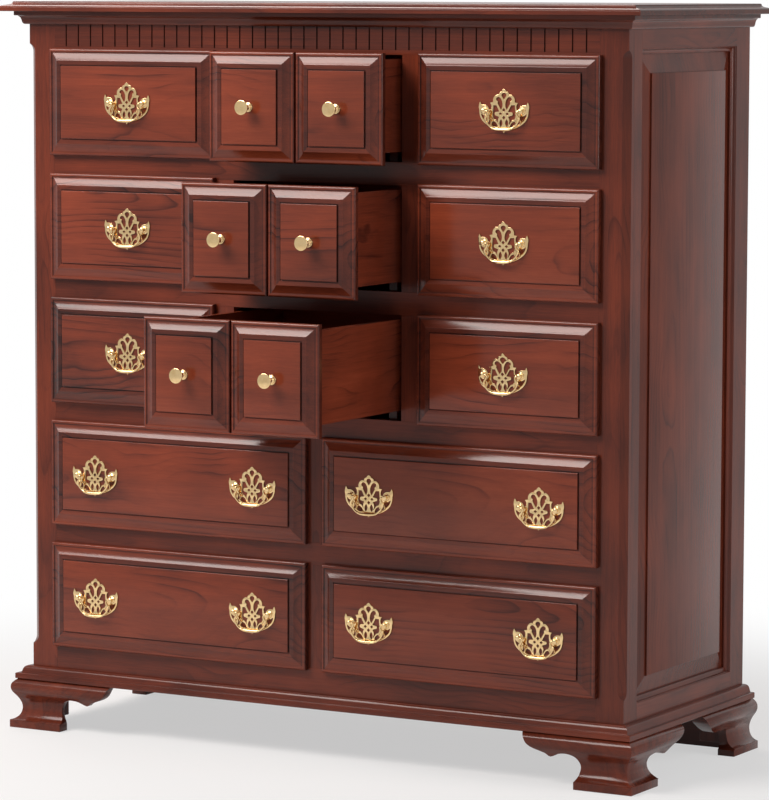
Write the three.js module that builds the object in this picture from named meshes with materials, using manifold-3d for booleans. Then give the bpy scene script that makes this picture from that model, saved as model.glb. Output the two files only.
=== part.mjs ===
// Block front chest of thirteen drawers with a moulded top, ogee bracket feet and pierced brass pulls.
// Millimetres, +Z up, the front faces -Y. Three middle drawers stand open by different amounts.

import * as THREE from 'three';
import { mergeVertices } from 'three/addons/utils/BufferGeometryUtils.js';
import Module from 'manifold-3d';

// Case
const caseWidth = 1300;
const caseDepth = 514;
const footHeight = 97.2;
const seatGap = 0.3;
const bottomRailHeight = 73.5;
const railHeight = 43;
const openingHeight = 198;
const friezeHeight = 67;
const stileWidth = 57.5;
const mullionWidth = 43;
const faceThickness = 22;
const rowCount = 5;
const upperRowCount = 3;
const upperColumnCount = 3;
const lowerColumnCount = 2;

// Frieze kerfs and the stopped chamfers of the front corners
const kerfCount = 41;
const kerfWidth = 2.6;
const kerfDepth = 3;
const kerfFoot = 8.5;
const kerfHead = 10;
const chamferSize = 12.5;
const chamferTaper = 13;
const chamferHeadDrop = 69;
const chamferFootRise = 84;

// Web frames behind the face frame
const runnerWidth = 18;
const runnerDrop = 24;
const runnerSideGap = 2;
const rearRailThickness = 18;
const kickerHeight = 40;
const joinDepth = 2;

// Side frames, side panels and back panel
const sideThickness = 22;
const sideStileFront = 54;
const sideStileRear = 58;
const sideTopRail = 52;
const sideBottomRail = 57;
const stickingWidth = 10;
const stickingDepth = 9;
const stickingLip = 4;
const panelBevelWidth = 34;
const panelBevelRise = 7.5;
const panelFieldStep = 4;
const backThickness = 6;
const backInset = 8;

// Top board with its under strip, crown and base mouldings
const topThickness = 19.5;
const topOutset = 43;
const topShoulderOutset = 22.5;
const stripThickness = 8.2;
const stripOutset = 22;
const crownHeight = 16.5;
const crownOutset = 16.5;
const baseHeight = 25.5;
const baseOutset = 26;
const baseBeadOutset = 14.5;
const baseFilletHeight = 11;

// Feet
const footOutset = 34;
const footRun = 196;
const rearFootRun = 230;
const frontBracketStock = 26;
const sideBracketStock = 34;
const rearBoardThickness = 34;
const rearBoardFlat = 150;
const glueBlockSize = 50;
const glueBlockRise = 20;

// Drawer fronts
const lipOverlap = 4;
const lipThickness = 12.2;
const lipArris = 1.5;
const lipFlat = 6;
const coveWidth = 16.5;
const coveRise = 6.6;
const fieldInset = 33;
const fieldStep = 2.9;
const blockGroove = 3;
const blockGrooveDepth = 7;

// Drawer boxes
const boxSideGap = 5;
const boxHeadGap = 8;
const boxFootGap = 19;
const boxDepth = 460;
const boxWall = 12.7;
const boxBottomThickness = 6;
const boxBottomRecess = 9;

// How far the three middle drawers stand open, from the top row down
const openings = [69, 167, 295.5];

// Bail pulls
const pullHalfWidth = 52;
const pullReach = 40;
const plateThickness = 2;
const postSpacing = 76.2;
const postRadius = 4;
const postSides = 6;
const pinHeight = 7.5;
const rosetteRadius = 5;
const rosetteReach = 10.6;
const rosetteThickness = 2.2;
const pinRadius = 1.5;
const pinClearance = 0.65;
const pinTipGap = 0.6;
const boreDepth = 6;
const boreSides = 6;
const armRadius = 1.9;
const armGap = 0.7;
const armBend = 2.4;
const gripRadius = 3.2;
const bailDrop = 33.5;
const bailSides = 6;
const longPullOffset = 179;

// Knobs
const knobRadius = 14.2;
const knobProjection = 28.3;
const knobSegments = 10;

// One overrun serves every cut
const overrun = 5;

const wasm = await Module();
wasm.setup();

// Places that follow from the sizes above
const halfWidth = caseWidth / 2;
const caseBottom = footHeight + seatGap;
const rowPitch = openingHeight + railHeight;
const topOpeningHead = caseBottom + bottomRailHeight + (rowCount - 1) * rowPitch + openingHeight;
const caseTop = topOpeningHead + friezeHeight;
const sideInner = halfWidth - sideThickness;
const backFront = caseDepth - backInset - backThickness;
const rearRailBack = backFront - seatGap;
const rearRailFront = rearRailBack - rearRailThickness;
const bandProud = lipThickness + coveRise;
const fieldProud = bandProud + fieldStep;
const postX = postSpacing / 2;
const armX = postX - rosetteRadius - armGap - armRadius;
const boxBottomUnderside = boxFootGap + boxBottomRecess;

function closed(geometry) {
  const bare = geometry.clone();
  bare.deleteAttribute('normal');
  bare.deleteAttribute('uv');
  const merged = mergeVertices(bare);
  const kept = [];
  const index = merged.index.array;
  for (let i = 0; i < index.length; i += 3) {
    const [a, b, c] = [index[i], index[i + 1], index[i + 2]];
    if (a !== b && b !== c && c !== a) kept.push(a, b, c);
  }
  merged.setIndex(kept);
  return merged;
}

function toSolid(geometry) {
  const mesh = closed(geometry);
  const vertProperties = new Float32Array(mesh.attributes.position.array);
  const triVerts = new Uint32Array(mesh.index.array);
  return new wasm.Manifold(new wasm.Mesh({ numProp: 3, vertProperties, triVerts }));
}

function toGeometry(solid) {
  const mesh = solid.getMesh();
  const geometry = new THREE.BufferGeometry();
  geometry.setAttribute('position', new THREE.BufferAttribute(new Float32Array(mesh.vertProperties), 3));
  geometry.setIndex(Array.from(mesh.triVerts));
  return geometry;
}

function join(solids) {
  return solids.reduce((whole, solid) => whole.add(solid));
}

function cut(solid, cutters) {
  return cutters.reduce((rest, cutter) => rest.subtract(cutter), solid);
}

// A block between two values on each axis
function block([x0, x1], [y0, y1], [z0, z1]) {
  const geometry = new THREE.BoxGeometry(x1 - x0, y1 - y0, z1 - z0);
  geometry.translate((x0 + x1) / 2, (y0 + y1) / 2, (z0 + z1) / 2);
  return toSolid(geometry);
}

function outline(points) {
  return new THREE.Shape(points.map(([a, b]) => new THREE.Vector2(a, b)));
}

// An outline in X and Z, run from y0 to y1
function prismAlongY(shape, y0, y1) {
  const geometry = new THREE.ExtrudeGeometry(shape, { depth: y1 - y0, bevelEnabled: false });
  const turn = new THREE.Matrix4().makeBasis(
    new THREE.Vector3(1, 0, 0),
    new THREE.Vector3(0, 0, 1),
    new THREE.Vector3(0, -1, 0),
  );
  geometry.applyMatrix4(turn);
  geometry.translate(0, y1, 0);
  return toSolid(geometry);
}

// An outline in Y and Z, run from x0 to x1
function prismAlongX(shape, x0, x1) {
  const geometry = new THREE.ExtrudeGeometry(shape, { depth: x1 - x0, bevelEnabled: false });
  const turn = new THREE.Matrix4().makeBasis(
    new THREE.Vector3(0, 1, 0),
    new THREE.Vector3(0, 0, 1),
    new THREE.Vector3(1, 0, 0),
  );
  geometry.applyMatrix4(turn);
  geometry.translate(x0, 0, 0);
  return toSolid(geometry);
}

// An outline in X and Y, run from z0 to z1
function prismAlongZ(shape, z0, z1) {
  const geometry = new THREE.ExtrudeGeometry(shape, { depth: z1 - z0, bevelEnabled: false });
  geometry.translate(0, 0, z0);
  return toSolid(geometry);
}

// Rings of equal count joined in order; the ends are capped unless the last ring meets the first
function loft(rings, { loop = false } = {}) {
  const count = rings[0].length;
  const positions = rings.flat().flatMap((point) => [point.x, point.y, point.z]);
  const index = [];
  const spans = loop ? rings.length : rings.length - 1;
  for (let r = 0; r < spans; r += 1) {
    const lower = r * count;
    const upper = ((r + 1) % rings.length) * count;
    for (let k = 0; k < count; k += 1) {
      const next = (k + 1) % count;
      index.push(lower + k, lower + next, upper + next, lower + k, upper + next, upper + k);
    }
  }
  if (!loop) {
    const last = (rings.length - 1) * count;
    for (let k = 1; k < count - 1; k += 1) {
      index.push(0, k + 1, k, last, last + k, last + k + 1);
    }
  }
  const geometry = new THREE.BufferGeometry();
  geometry.setAttribute('position', new THREE.Float32BufferAttribute(positions, 3));
  geometry.setIndex(index);
  return geometry;
}

function mirroredX(geometry) {
  const mirrored = closed(geometry);
  mirrored.scale(-1, 1, 1);
  const index = mirrored.index.array;
  for (let i = 0; i < index.length; i += 3) {
    [index[i], index[i + 1]] = [index[i + 1], index[i]];
  }
  return mirrored;
}

function cherry() {
  return new THREE.MeshStandardMaterial({ color: '#71392b', roughness: 0.38, metalness: 0 });
}

function backPly() {
  return new THREE.MeshStandardMaterial({ color: '#8a5a3c', roughness: 0.6, metalness: 0 });
}

function brass() {
  return new THREE.MeshStandardMaterial({ color: '#d8b566', roughness: 0.25, metalness: 1 });
}

function piece(name, geometry, material) {
  const mesh = new THREE.Mesh(geometry, material);
  mesh.name = name;
  return mesh;
}

// Rows are counted from the top, columns from the left
function openingSpan(row, column) {
  const columns = row < upperRowCount ? upperColumnCount : lowerColumnCount;
  const width = (caseWidth - 2 * stileWidth - (columns - 1) * mullionWidth) / columns;
  const x0 = stileWidth - halfWidth + column * (width + mullionWidth);
  const z0 = topOpeningHead - openingHeight - row * rowPitch;
  return { x0, x1: x0 + width, z0, z1: z0 + openingHeight };
}

const drawers = [];
for (let row = 0; row < rowCount; row += 1) {
  const sides = row < upperRowCount ? ['left', 'center', 'right'] : ['left', 'right'];
  sides.forEach((side, column) => {
    const isCenter = side === 'center';
    drawers.push({
      name: `r${row + 1}_${side}`,
      span: openingSpan(row, column),
      open: isCenter ? openings[row] : 0,
      isCenter,
      isLong: row >= upperRowCount,
    });
  });
}

// A moulding profile of [outset, height] points, carried round the front and both sides with mitred corners
function mouldingRound(profile) {
  const stations = [
    ([e, z]) => new THREE.Vector3(-halfWidth - e, caseDepth, z),
    ([e, z]) => new THREE.Vector3(-halfWidth - e, -e, z),
    ([e, z]) => new THREE.Vector3(halfWidth + e, -e, z),
    ([e, z]) => new THREE.Vector3(halfWidth + e, caseDepth, z),
  ];
  const count = profile.length;
  const positions = stations.flatMap((place) => profile.flatMap((point) => place(point).toArray()));
  const index = [];
  for (let s = 0; s < stations.length - 1; s += 1) {
    for (let k = 0; k < count; k += 1) {
      const next = (k + 1) % count;
      const [a, b] = [s * count + k, s * count + next];
      index.push(a, a + count, b + count, a, b + count, b);
    }
  }
  const caps = THREE.ShapeUtils.triangulateShape(profile.map(([e, z]) => new THREE.Vector2(e, z)), []);
  const last = (stations.length - 1) * count;
  for (const [a, b, c] of caps) {
    index.push(a, b, c, last + a, last + c, last + b);
  }
  const geometry = new THREE.BufferGeometry();
  geometry.setAttribute('position', new THREE.Float32BufferAttribute(positions, 3));
  geometry.setIndex(index);
  return geometry;
}

// Rectangles of the case's plan, grown by an outset on the front and the sides and flush at the back
function planRing(outset, z) {
  return [
    new THREE.Vector3(-halfWidth - outset, -outset, z),
    new THREE.Vector3(halfWidth + outset, -outset, z),
    new THREE.Vector3(halfWidth + outset, caseDepth, z),
    new THREE.Vector3(-halfWidth - outset, caseDepth, z),
  ];
}

function topBoard() {
  const stripBottom = caseTop + seatGap;
  const boardBottom = stripBottom + stripThickness;
  const shoulder = topOutset - topShoulderOutset;
  // Shares of the shoulder's width and of the board's thickness
  const edgeShares = [
    [1, 0],
    [1, 0.4],
    [0.92, 0.52],
    [0.72, 0.6],
    [0.3, 0.68],
    [0.08, 0.8],
    [0, 1],
  ];
  const rings = [planRing(stripOutset, stripBottom), planRing(stripOutset, boardBottom)];
  for (const [out, up] of edgeShares) {
    rings.push(planRing(topShoulderOutset + shoulder * out, boardBottom + topThickness * up));
  }
  return loft(rings);
}

function crownMoulding() {
  const bottom = caseTop - crownHeight;
  // Shares of the crown's outset and of its height
  const faceShares = [
    [0.2, 0],
    [0.42, 0.05],
    [0.58, 0.16],
    [0.68, 0.34],
    [0.74, 0.6],
    [0.84, 0.84],
    [1, 1],
  ];
  const face = faceShares.map(([out, up]) => [crownOutset * out, bottom + crownHeight * up]);
  return mouldingRound([[seatGap, bottom], ...face, [seatGap, caseTop]]);
}

function baseMoulding() {
  const filletTop = caseBottom + baseFilletHeight;
  const beadHeight = baseHeight - baseFilletHeight;
  // Shares of the bead's outset and of the height above the fillet
  const beadShares = [
    [1.18, 0.05],
    [1.05, 0.4],
    [0.96, 0.62],
    [0.8, 0.82],
    [0.55, 0.95],
    [0.25, 1],
  ];
  const face = beadShares.map(([out, up]) => [baseBeadOutset * out, filletTop + beadHeight * up]);
  return mouldingRound([
    [seatGap, caseBottom],
    [baseOutset, caseBottom],
    [baseOutset, filletTop],
    ...face,
    [seatGap, filletTop + beadHeight],
  ]);
}

// A three-sided prism that takes off a front corner, fading out at both ends
function cornerChamfer(side) {
  const corner = side * halfWidth;
  const plan = (size, z) => [
    new THREE.Vector3(corner + side * overrun, -overrun, z),
    new THREE.Vector3(corner - side * size, -overrun, z),
    new THREE.Vector3(corner + side * overrun, size, z),
  ];
  const reach = chamferSize + overrun;
  const foot = caseBottom + chamferFootRise;
  const head = caseTop - chamferHeadDrop;
  const rings = [
    plan(0, foot - chamferTaper),
    plan(reach, foot),
    plan(reach, head),
    plan(0, head + chamferTaper),
  ];
  return toSolid(loft(side > 0 ? rings.map((ring) => [ring[0], ring[2], ring[1]]) : rings));
}

function runnerPlaces({ span }) {
  const left = span.x0 + boxSideGap + boxWall + runnerSideGap;
  const right = span.x1 - boxSideGap - boxWall - runnerSideGap;
  return [[left, left + runnerWidth], [right - runnerWidth, right]];
}

function dividerFrame() {
  const face = block([-halfWidth, halfWidth], [0, faceThickness], [caseBottom, caseTop]);
  const holes = drawers.map(({ span }) => block(
    [span.x0, span.x1],
    [-overrun, faceThickness + overrun],
    [span.z0, span.z1],
  ));
  const kerfSpan = caseWidth - 2 * stileWidth;
  const kerfPitch = kerfSpan / (kerfCount + 1);
  const kerfs = [];
  for (let k = 1; k <= kerfCount; k += 1) {
    const x = k * kerfPitch - kerfSpan / 2;
    kerfs.push(prismAlongZ(outline([
      [x - kerfWidth / 2, -seatGap],
      [x + kerfWidth / 2, -seatGap],
      [x, kerfDepth],
    ]), topOpeningHead + kerfFoot, caseTop - kerfHead));
  }
  const joinY = faceThickness - joinDepth;
  const webs = [];
  for (const drawer of drawers) {
    const { z0 } = drawer.span;
    for (const place of runnerPlaces(drawer)) {
      const top = z0 + boxBottomUnderside - seatGap;
      webs.push(block(place, [joinY, rearRailFront + joinDepth], [z0 - runnerDrop, top]));
    }
  }
  const railHalf = sideInner - seatGap;
  for (let row = 0; row < rowCount; row += 1) {
    const { z0 } = openingSpan(row, 0);
    const top = z0 + boxBottomUnderside - seatGap;
    webs.push(block([-railHalf, railHalf], [rearRailFront, rearRailBack], [z0 - runnerDrop, top]));
  }
  const kickerBottom = caseTop - kickerHeight;
  for (const place of [...runnerPlaces(drawers[0]), ...runnerPlaces(drawers[upperColumnCount - 1])]) {
    webs.push(block(place, [joinY, rearRailFront + joinDepth], [kickerBottom, caseTop]));
  }
  webs.push(block([-railHalf, railHalf], [rearRailFront, rearRailBack], [kickerBottom, caseTop]));
  const chamfers = [-1, 1].map(cornerChamfer);
  return toGeometry(join([cut(face, [...holes, ...kerfs, ...chamfers]), ...webs]));
}

// A rectangle in Y and Z at one X, drawn in by an offset from the side frame's opening
function sideRing(x, offset) {
  const y0 = sideStileFront + offset;
  const y1 = caseDepth - sideStileRear - offset;
  const z0 = caseBottom + sideBottomRail + offset;
  const z1 = caseTop - sideTopRail - offset;
  return [
    new THREE.Vector3(x, y0, z0),
    new THREE.Vector3(x, y1, z0),
    new THREE.Vector3(x, y1, z1),
    new THREE.Vector3(x, y0, z1),
  ];
}

// The right side frame: rails and stiles round one opening, with a moulded edge and a rebate behind it
function sideFrame() {
  const y0 = faceThickness + seatGap;
  const outer = (x) => [
    new THREE.Vector3(x, y0, caseBottom),
    new THREE.Vector3(x, caseDepth, caseBottom),
    new THREE.Vector3(x, caseDepth, caseTop),
    new THREE.Vector3(x, y0, caseTop),
  ];
  const lipFace = halfWidth - stickingDepth;
  const lipBack = lipFace - stickingLip;
  // Shares of the sticking's width and of its depth
  const stickingShares = [[0, 0], [0.12, 0.3], [0.45, 0.72], [0.85, 0.95], [1, 1]];
  const sticking = stickingShares.map(([across, down]) => (
    sideRing(halfWidth - stickingDepth * down, stickingWidth * across)
  ));
  return loft([
    outer(sideInner),
    outer(halfWidth),
    ...sticking,
    sideRing(lipBack, stickingWidth),
    sideRing(lipBack, 0),
    sideRing(sideInner, 0),
  ], { loop: true });
}

// The right side panel: a raised field with a sloping border, held in the frame's rebate
function sidePanel() {
  const lipBack = halfWidth - stickingDepth - stickingLip;
  const borderFoot = stickingWidth + seatGap;
  const borderHead = stickingWidth + panelBevelWidth;
  const fieldBase = lipBack - seatGap + panelBevelRise;
  return loft([
    sideRing(sideInner + seatGap, seatGap),
    sideRing(lipBack - seatGap, seatGap),
    sideRing(lipBack - seatGap, borderFoot),
    sideRing(fieldBase, borderHead),
    sideRing(fieldBase + panelFieldStep, borderHead),
  ]);
}

function backPanel() {
  const halfBack = sideInner - seatGap;
  return toGeometry(block(
    [-halfBack, halfBack],
    [backFront, backFront + backThickness],
    [caseBottom, caseTop],
  ));
}

// Shares of the foot's outset and of its height: cyma front face, from the floor up
const footFaceShares = [
  [1, 0],
  [1, 0.155],
  [0.8, 0.18],
  [0.62, 0.23],
  [0.5, 0.31],
  [0.46, 0.42],
  [0.52, 0.52],
  [0.66, 0.62],
  [0.86, 0.72],
  [0.95, 0.8],
  [0.94, 0.88],
  [0.84, 0.94],
  [0.63, 1],
];

// Shares of a bracket's run and of the foot's height: the bracket's lower edge, out from the leg
const frontBracketShares = [
  [0.431, 0.12],
  [0.41, 0.27],
  [0.398, 0.41],
  [0.415, 0.52],
  [0.455, 0.61],
  [0.53, 0.655],
  [0.62, 0.635],
  [0.71, 0.56],
  [0.765, 0.63],
  [0.875, 0.71],
  [0.935, 0.79],
  [0.967, 0.89],
  [1, 1],
];
const sideBracketShares = [
  [0.386, 0.134],
  [0.399, 0.185],
  [0.373, 0.274],
  [0.347, 0.365],
  [0.333, 0.471],
  [0.342, 0.546],
  [0.376, 0.593],
  [0.47, 0.616],
  [0.55, 0.6],
  [0.696, 0.522],
  [0.823, 0.671],
  [0.897, 0.756],
  [0.954, 0.85],
  [0.988, 0.936],
  [1, 1],
];
const rearBracketShares = [
  [0.472, 0.123],
  [0.4535, 0.16],
  [0.446, 0.247],
  [0.451, 0.385],
  [0.475, 0.5],
  [0.513, 0.556],
  [0.652, 0.57],
  [0.73, 0.576],
  [0.812, 0.647],
  [0.88, 0.728],
  [0.935, 0.807],
  [0.973, 0.875],
  [1, 1],
];

// The space under a bracket, as an outline of distance from the corner and height
function underBracket(shares, run) {
  const edge = shares.map(([along, up]) => [run * along, footHeight * up]);
  return [
    [edge[0][0], -overrun],
    ...edge,
    [run, footHeight + overrun],
    [run + overrun, footHeight + overrun],
    [run + overrun, -overrun],
  ];
}

// Stacked rectangles that follow the ogee face on the left and, for a front foot, on the front too
function footRings(front, back, followsFront) {
  return footFaceShares.map(([out, up]) => {
    const e = footOutset * out;
    const y = followsFront ? front - e : front;
    const z = footHeight * up;
    return [
      new THREE.Vector3(-halfWidth - e, y, z),
      new THREE.Vector3(footRun - halfWidth, y, z),
      new THREE.Vector3(footRun - halfWidth, back, z),
      new THREE.Vector3(-halfWidth - e, back, z),
    ];
  });
}

// The front left foot: two ogee brackets mitred at the corner, with a glue block behind them
function frontFoot() {
  const height = [-overrun, footHeight + overrun];
  const far = footRun + overrun;
  const innerX = sideBracketStock - footOutset - halfWidth;
  const innerY = frontBracketStock - footOutset;
  const hollow = block([innerX, far - halfWidth], [innerY, far], height);
  const frontEdge = outline(underBracket(frontBracketShares, footRun).map(([d, z]) => [d - halfWidth, z]));
  const sideEdge = outline(underBracket(sideBracketShares, footRun));
  const brackets = cut(toSolid(loft(footRings(0, footRun, true))), [
    hollow,
    prismAlongY(frontEdge, -footOutset - overrun, far),
    prismAlongX(sideEdge, -halfWidth - footOutset - overrun, far - halfWidth),
  ]);
  return toGeometry(brackets.add(block(
    [innerX - joinDepth, glueBlockSize - halfWidth],
    [innerY - joinDepth, glueBlockSize],
    [glueBlockRise, footHeight],
  )));
}

// The rear left foot: one ogee bracket along the side, a plain board along the back and a glue block
function rearFoot() {
  const height = [-overrun, footHeight + overrun];
  const far = footRun + overrun;
  const front = caseDepth - rearFootRun;
  const innerX = sideBracketStock - footOutset - halfWidth;
  const boardFront = caseDepth - rearBoardThickness;
  const hollow = block([innerX, far - halfWidth], [front - overrun, boardFront], height);
  const sideEdge = underBracket(rearBracketShares, rearFootRun).map(([d, z]) => [caseDepth - d, z]);
  const boardEdge = outline([
    [rearBoardFlat - halfWidth, -overrun],
    [far - halfWidth, -overrun],
    [far - halfWidth, footHeight],
    [footRun - halfWidth, footHeight],
    [rearBoardFlat - halfWidth, 0],
  ]);
  const boards = cut(toSolid(loft(footRings(front, caseDepth, false))), [
    hollow,
    prismAlongX(outline(sideEdge.reverse()), -halfWidth - footOutset - overrun, innerX),
    prismAlongY(boardEdge, boardFront - overrun, caseDepth + overrun),
  ]);
  return toGeometry(boards.add(block(
    [innerX - joinDepth, glueBlockSize - halfWidth],
    [boardFront - glueBlockSize, boardFront + joinDepth],
    [glueBlockRise, footHeight],
  )));
}

// Shares of the cove's width and rise, a shallow hollow that nearly reads as a bevel
const coveShares = [
  [0.5, 0.46],
  [1, 1],
];

// One raised block of a drawer front: lip, cove, flat band and stepped field, its back at y = 0
function frontBlock(x0, x1, z0, z1) {
  const profile = [
    [0, 0],
    [0, lipThickness - lipArris],
    [lipArris, lipThickness],
    [lipFlat, lipThickness],
    ...coveShares.map(([across, up]) => [lipFlat + coveWidth * across, lipThickness + coveRise * up]),
    [fieldInset, bandProud],
    [fieldInset, fieldProud],
  ];
  return toSolid(loft(profile.map(([inset, proud]) => [
    new THREE.Vector3(x0 + inset, -proud, z0 + inset),
    new THREE.Vector3(x1 - inset, -proud, z0 + inset),
    new THREE.Vector3(x1 - inset, -proud, z1 - inset),
    new THREE.Vector3(x0 + inset, -proud, z1 - inset),
  ])));
}

function blockSpans({ span, isCenter }) {
  const x0 = span.x0 - lipOverlap;
  const x1 = span.x1 + lipOverlap;
  const middle = (x0 + x1) / 2;
  return isCenter
    ? [[x0, middle - blockGroove / 2], [middle + blockGroove / 2, x1]]
    : [[x0, x1]];
}

function drawerGeometry(drawer) {
  const { x0, x1, z0, z1 } = drawer.span;
  const spans = blockSpans(drawer);
  const lipZ = [z0 - lipOverlap, z1 + lipOverlap];
  const fronts = spans.map(([a, b]) => frontBlock(a, b, ...lipZ));
  if (spans.length > 1) {
    const bridge = [spans[0][1] - joinDepth, spans[1][0] + joinDepth];
    fronts.push(block(bridge, [blockGrooveDepth - lipThickness, 0], lipZ));
  }
  const outerX = [x0 + boxSideGap, x1 - boxSideGap];
  const innerX = [outerX[0] + boxWall, outerX[1] - boxWall];
  const outerZ = [z0 + boxFootGap, z1 - boxHeadGap];
  const bottomUnderside = z0 + boxBottomUnderside;
  const bottomTop = bottomUnderside + boxBottomThickness;
  const shell = block(outerX, [-joinDepth, boxDepth], outerZ);
  const inside = block(innerX, [boxWall, boxDepth - boxWall], [bottomTop, outerZ[1] + overrun]);
  const underside = block(innerX, [boxWall, boxDepth + overrun], [outerZ[0] - overrun, bottomUnderside]);
  return toGeometry(join([...fronts, cut(shell, [inside, underside])]));
}

// Shares of the plate's half width and of its reach, right half, from the finial down to the lower tip
const plateEdgeShares = [
  [0.08, 0.93],
  [0.18, 0.8],
  [0.35, 0.69],
  [0.44, 0.52],
  [0.43, 0.4],
  [0.57, 0.375],
  [0.53, 0.09],
  [0.7, 0.26],
  [0.87, 0.27],
  [0.98, 0.42],
  [1, 0.05],
  [0.89, -0.4],
  [0.65, -0.67],
  [0.34, -0.84],
  [0.05, -0.895],
];

// Openings of the plate that lie on its middle line, and those of its right half, in the same shares
const middleHoleShares = [
  [[0, 0.8], [-0.09, 0.72], [0, 0.56], [0.09, 0.72]],
  [[0, 0.17], [-0.065, 0.07], [0, -0.03], [0.065, 0.07]],
  [[0, -0.18], [-0.06, -0.27], [0, -0.36], [0.06, -0.27]],
];
const rightHoleShares = [
  [[0.31, 0.56], [0.19, 0.63], [0.065, 0.38], [0.11, 0.07], [0.25, 0.34]],
  [[0.135, -0.02], [0.08, -0.1], [0.135, -0.18], [0.19, -0.1]],
  [[0.18, -0.025], [0.34, -0.065], [0.34, -0.19], [0.18, -0.27], [0.27, -0.44], [0.44, -0.36],
    [0.435, 0.25], [0.29, 0.25]],
  [[0.11, -0.35], [0.055, -0.52], [0.125, -0.72], [0.175, -0.52]],
  [[0.46, -0.48], [0.26, -0.68], [0.44, -0.68]],
  [[0.88, -0.15], [0.65, -0.26], [0.76, -0.43]],
];

function platePoint([across, up]) {
  return [pullHalfWidth * across, pullReach * up];
}

function mirrorShares(shares) {
  return shares.map(([across, up]) => [-across, up]).reverse();
}

// The pierced plate, its back at y = 0 and its posts pointing to -y, each bored from its inner side
function pullPlate() {
  const edge = [[0, 1], ...plateEdgeShares, [0, -1], ...mirrorShares(plateEdgeShares)];
  const holes = [...middleHoleShares, ...rightHoleShares, ...rightHoleShares.map(mirrorShares)];
  const blank = prismAlongY(outline(edge.map(platePoint)), -plateThickness, 0);
  let plate = cut(blank, holes.map((hole) => (
    prismAlongY(outline(hole.map(platePoint)), -plateThickness - overrun, overrun)
  )));
  // The post's foot lies inside the plate, and it flares to the rosette at its head
  const post = new THREE.LatheGeometry([
    new THREE.Vector2(0, plateThickness / 2),
    new THREE.Vector2(postRadius, plateThickness / 2),
    new THREE.Vector2(rosetteRadius, plateThickness + rosetteReach - rosetteThickness),
    new THREE.Vector2(rosetteRadius, plateThickness + rosetteReach),
    new THREE.Vector2(0, plateThickness + rosetteReach),
  ], postSides);
  post.rotateX(Math.PI);
  const boreRadius = pinRadius + pinClearance;
  const boreLength = boreDepth + overrun;
  for (const side of [-1, 1]) {
    const bore = new THREE.CylinderGeometry(boreRadius, boreRadius, boreLength, boreSides);
    bore.rotateZ(Math.PI / 2);
    const boreMiddle = postX - postRadius + boreDepth - boreLength / 2;
    bore.translate(side * boreMiddle, -plateThickness - pinHeight, 0);
    const placed = post.clone().translate(side * postX, 0, 0);
    plate = plate.add(toSolid(placed)).subtract(toSolid(bore));
  }
  return toGeometry(plate);
}

// A tube through points in X and Z whose radius changes along the way
function taperedTube(points, radii) {
  const rings = points.map(([x, z], i) => {
    const before = points[Math.max(i - 1, 0)];
    const after = points[Math.min(i + 1, points.length - 1)];
    const along = new THREE.Vector2(after[0] - before[0], after[1] - before[1]).normalize();
    const ring = [];
    for (let k = 0; k < bailSides; k += 1) {
      const angle = (k / bailSides) * Math.PI * 2;
      const across = radii[i] * Math.cos(angle);
      ring.push(new THREE.Vector3(x + along.y * across, radii[i] * Math.sin(angle), z - along.x * across));
    }
    return ring;
  });
  return loft(rings);
}

// The bail about its pin line: pins turned out, swan-neck arms that bow past them and a thicker grip
function bail() {
  const pinTip = postX - postRadius + boreDepth - pinTipGap;
  // Shares of the arm's place across and of the bail's drop, and of the swell from the arm to the grip
  const armShares = [
    [1, 0.12, 0],
    [1.16, 0.42, 0.3],
    [1, 0.72, 0],
    [0.4, 0.975, 0.7],
  ];
  const half = [[pinTip, 0, pinRadius], [armX + armBend, 0, pinRadius]];
  for (const [across, down, swell] of armShares) {
    half.push([armX * across, -bailDrop * down, armRadius + (gripRadius - armRadius) * swell]);
  }
  const mirrored = half.map(([x, z, radius]) => [-x, z, radius]).reverse();
  const all = [...half, [0, -bailDrop, gripRadius], ...mirrored];
  return taperedTube(all.map(([x, z]) => [x, z]), all.map(([, , radius]) => radius));
}

function knob() {
  // Shares of the knob's radius and of its projection
  const shares = [
    [0, 0],
    [0.6, 0],
    [0.62, 0.06],
    [0.3, 0.16],
    [0.27, 0.44],
    [0.5, 0.62],
    [0.94, 0.78],
    [1, 0.88],
    [0.9, 0.97],
    [0, 1],
  ];
  const profile = shares.map(([r, up]) => new THREE.Vector2(knobRadius * r, knobProjection * up));
  const geometry = new THREE.LatheGeometry(profile, knobSegments);
  geometry.rotateX(Math.PI);
  return closed(geometry);
}

// Where a drawer's pulls or knobs sit across its front
function hardwareOffsets(drawer) {
  if (drawer.isCenter) return blockSpans(drawer).map(([a, b]) => (a + b) / 2);
  const middle = (drawer.span.x0 + drawer.span.x1) / 2;
  return drawer.isLong ? [middle - longPullOffset, middle + longPullOffset] : [middle];
}

function drawerGroup(drawer) {
  const group = new THREE.Group();
  const fieldY = -fieldProud - seatGap;
  const middleZ = (drawer.span.z0 + drawer.span.z1) / 2;
  const places = hardwareOffsets(drawer);
  group.add(piece(`drawer_${drawer.name}`, drawerGeometry(drawer), cherry()));
  places.forEach((x, i) => {
    const suffix = places.length > 1 ? `_${'ab'[i]}` : '';
    if (drawer.isCenter) {
      const turned = piece(`knob_${drawer.name}${suffix}`, knob(), brass());
      turned.position.set(x, fieldY, middleZ);
      group.add(turned);
      return;
    }
    const plate = piece(`pull_plate_${drawer.name}${suffix}`, pullPlate(), brass());
    plate.position.set(x, fieldY, middleZ);
    const handle = piece(`pull_bail_${drawer.name}${suffix}`, bail(), brass());
    handle.position.set(x, fieldY - plateThickness - pinHeight, middleZ);
    group.add(plate, handle);
  });
  group.position.y = -seatGap - drawer.open;
  return group;
}

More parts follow.
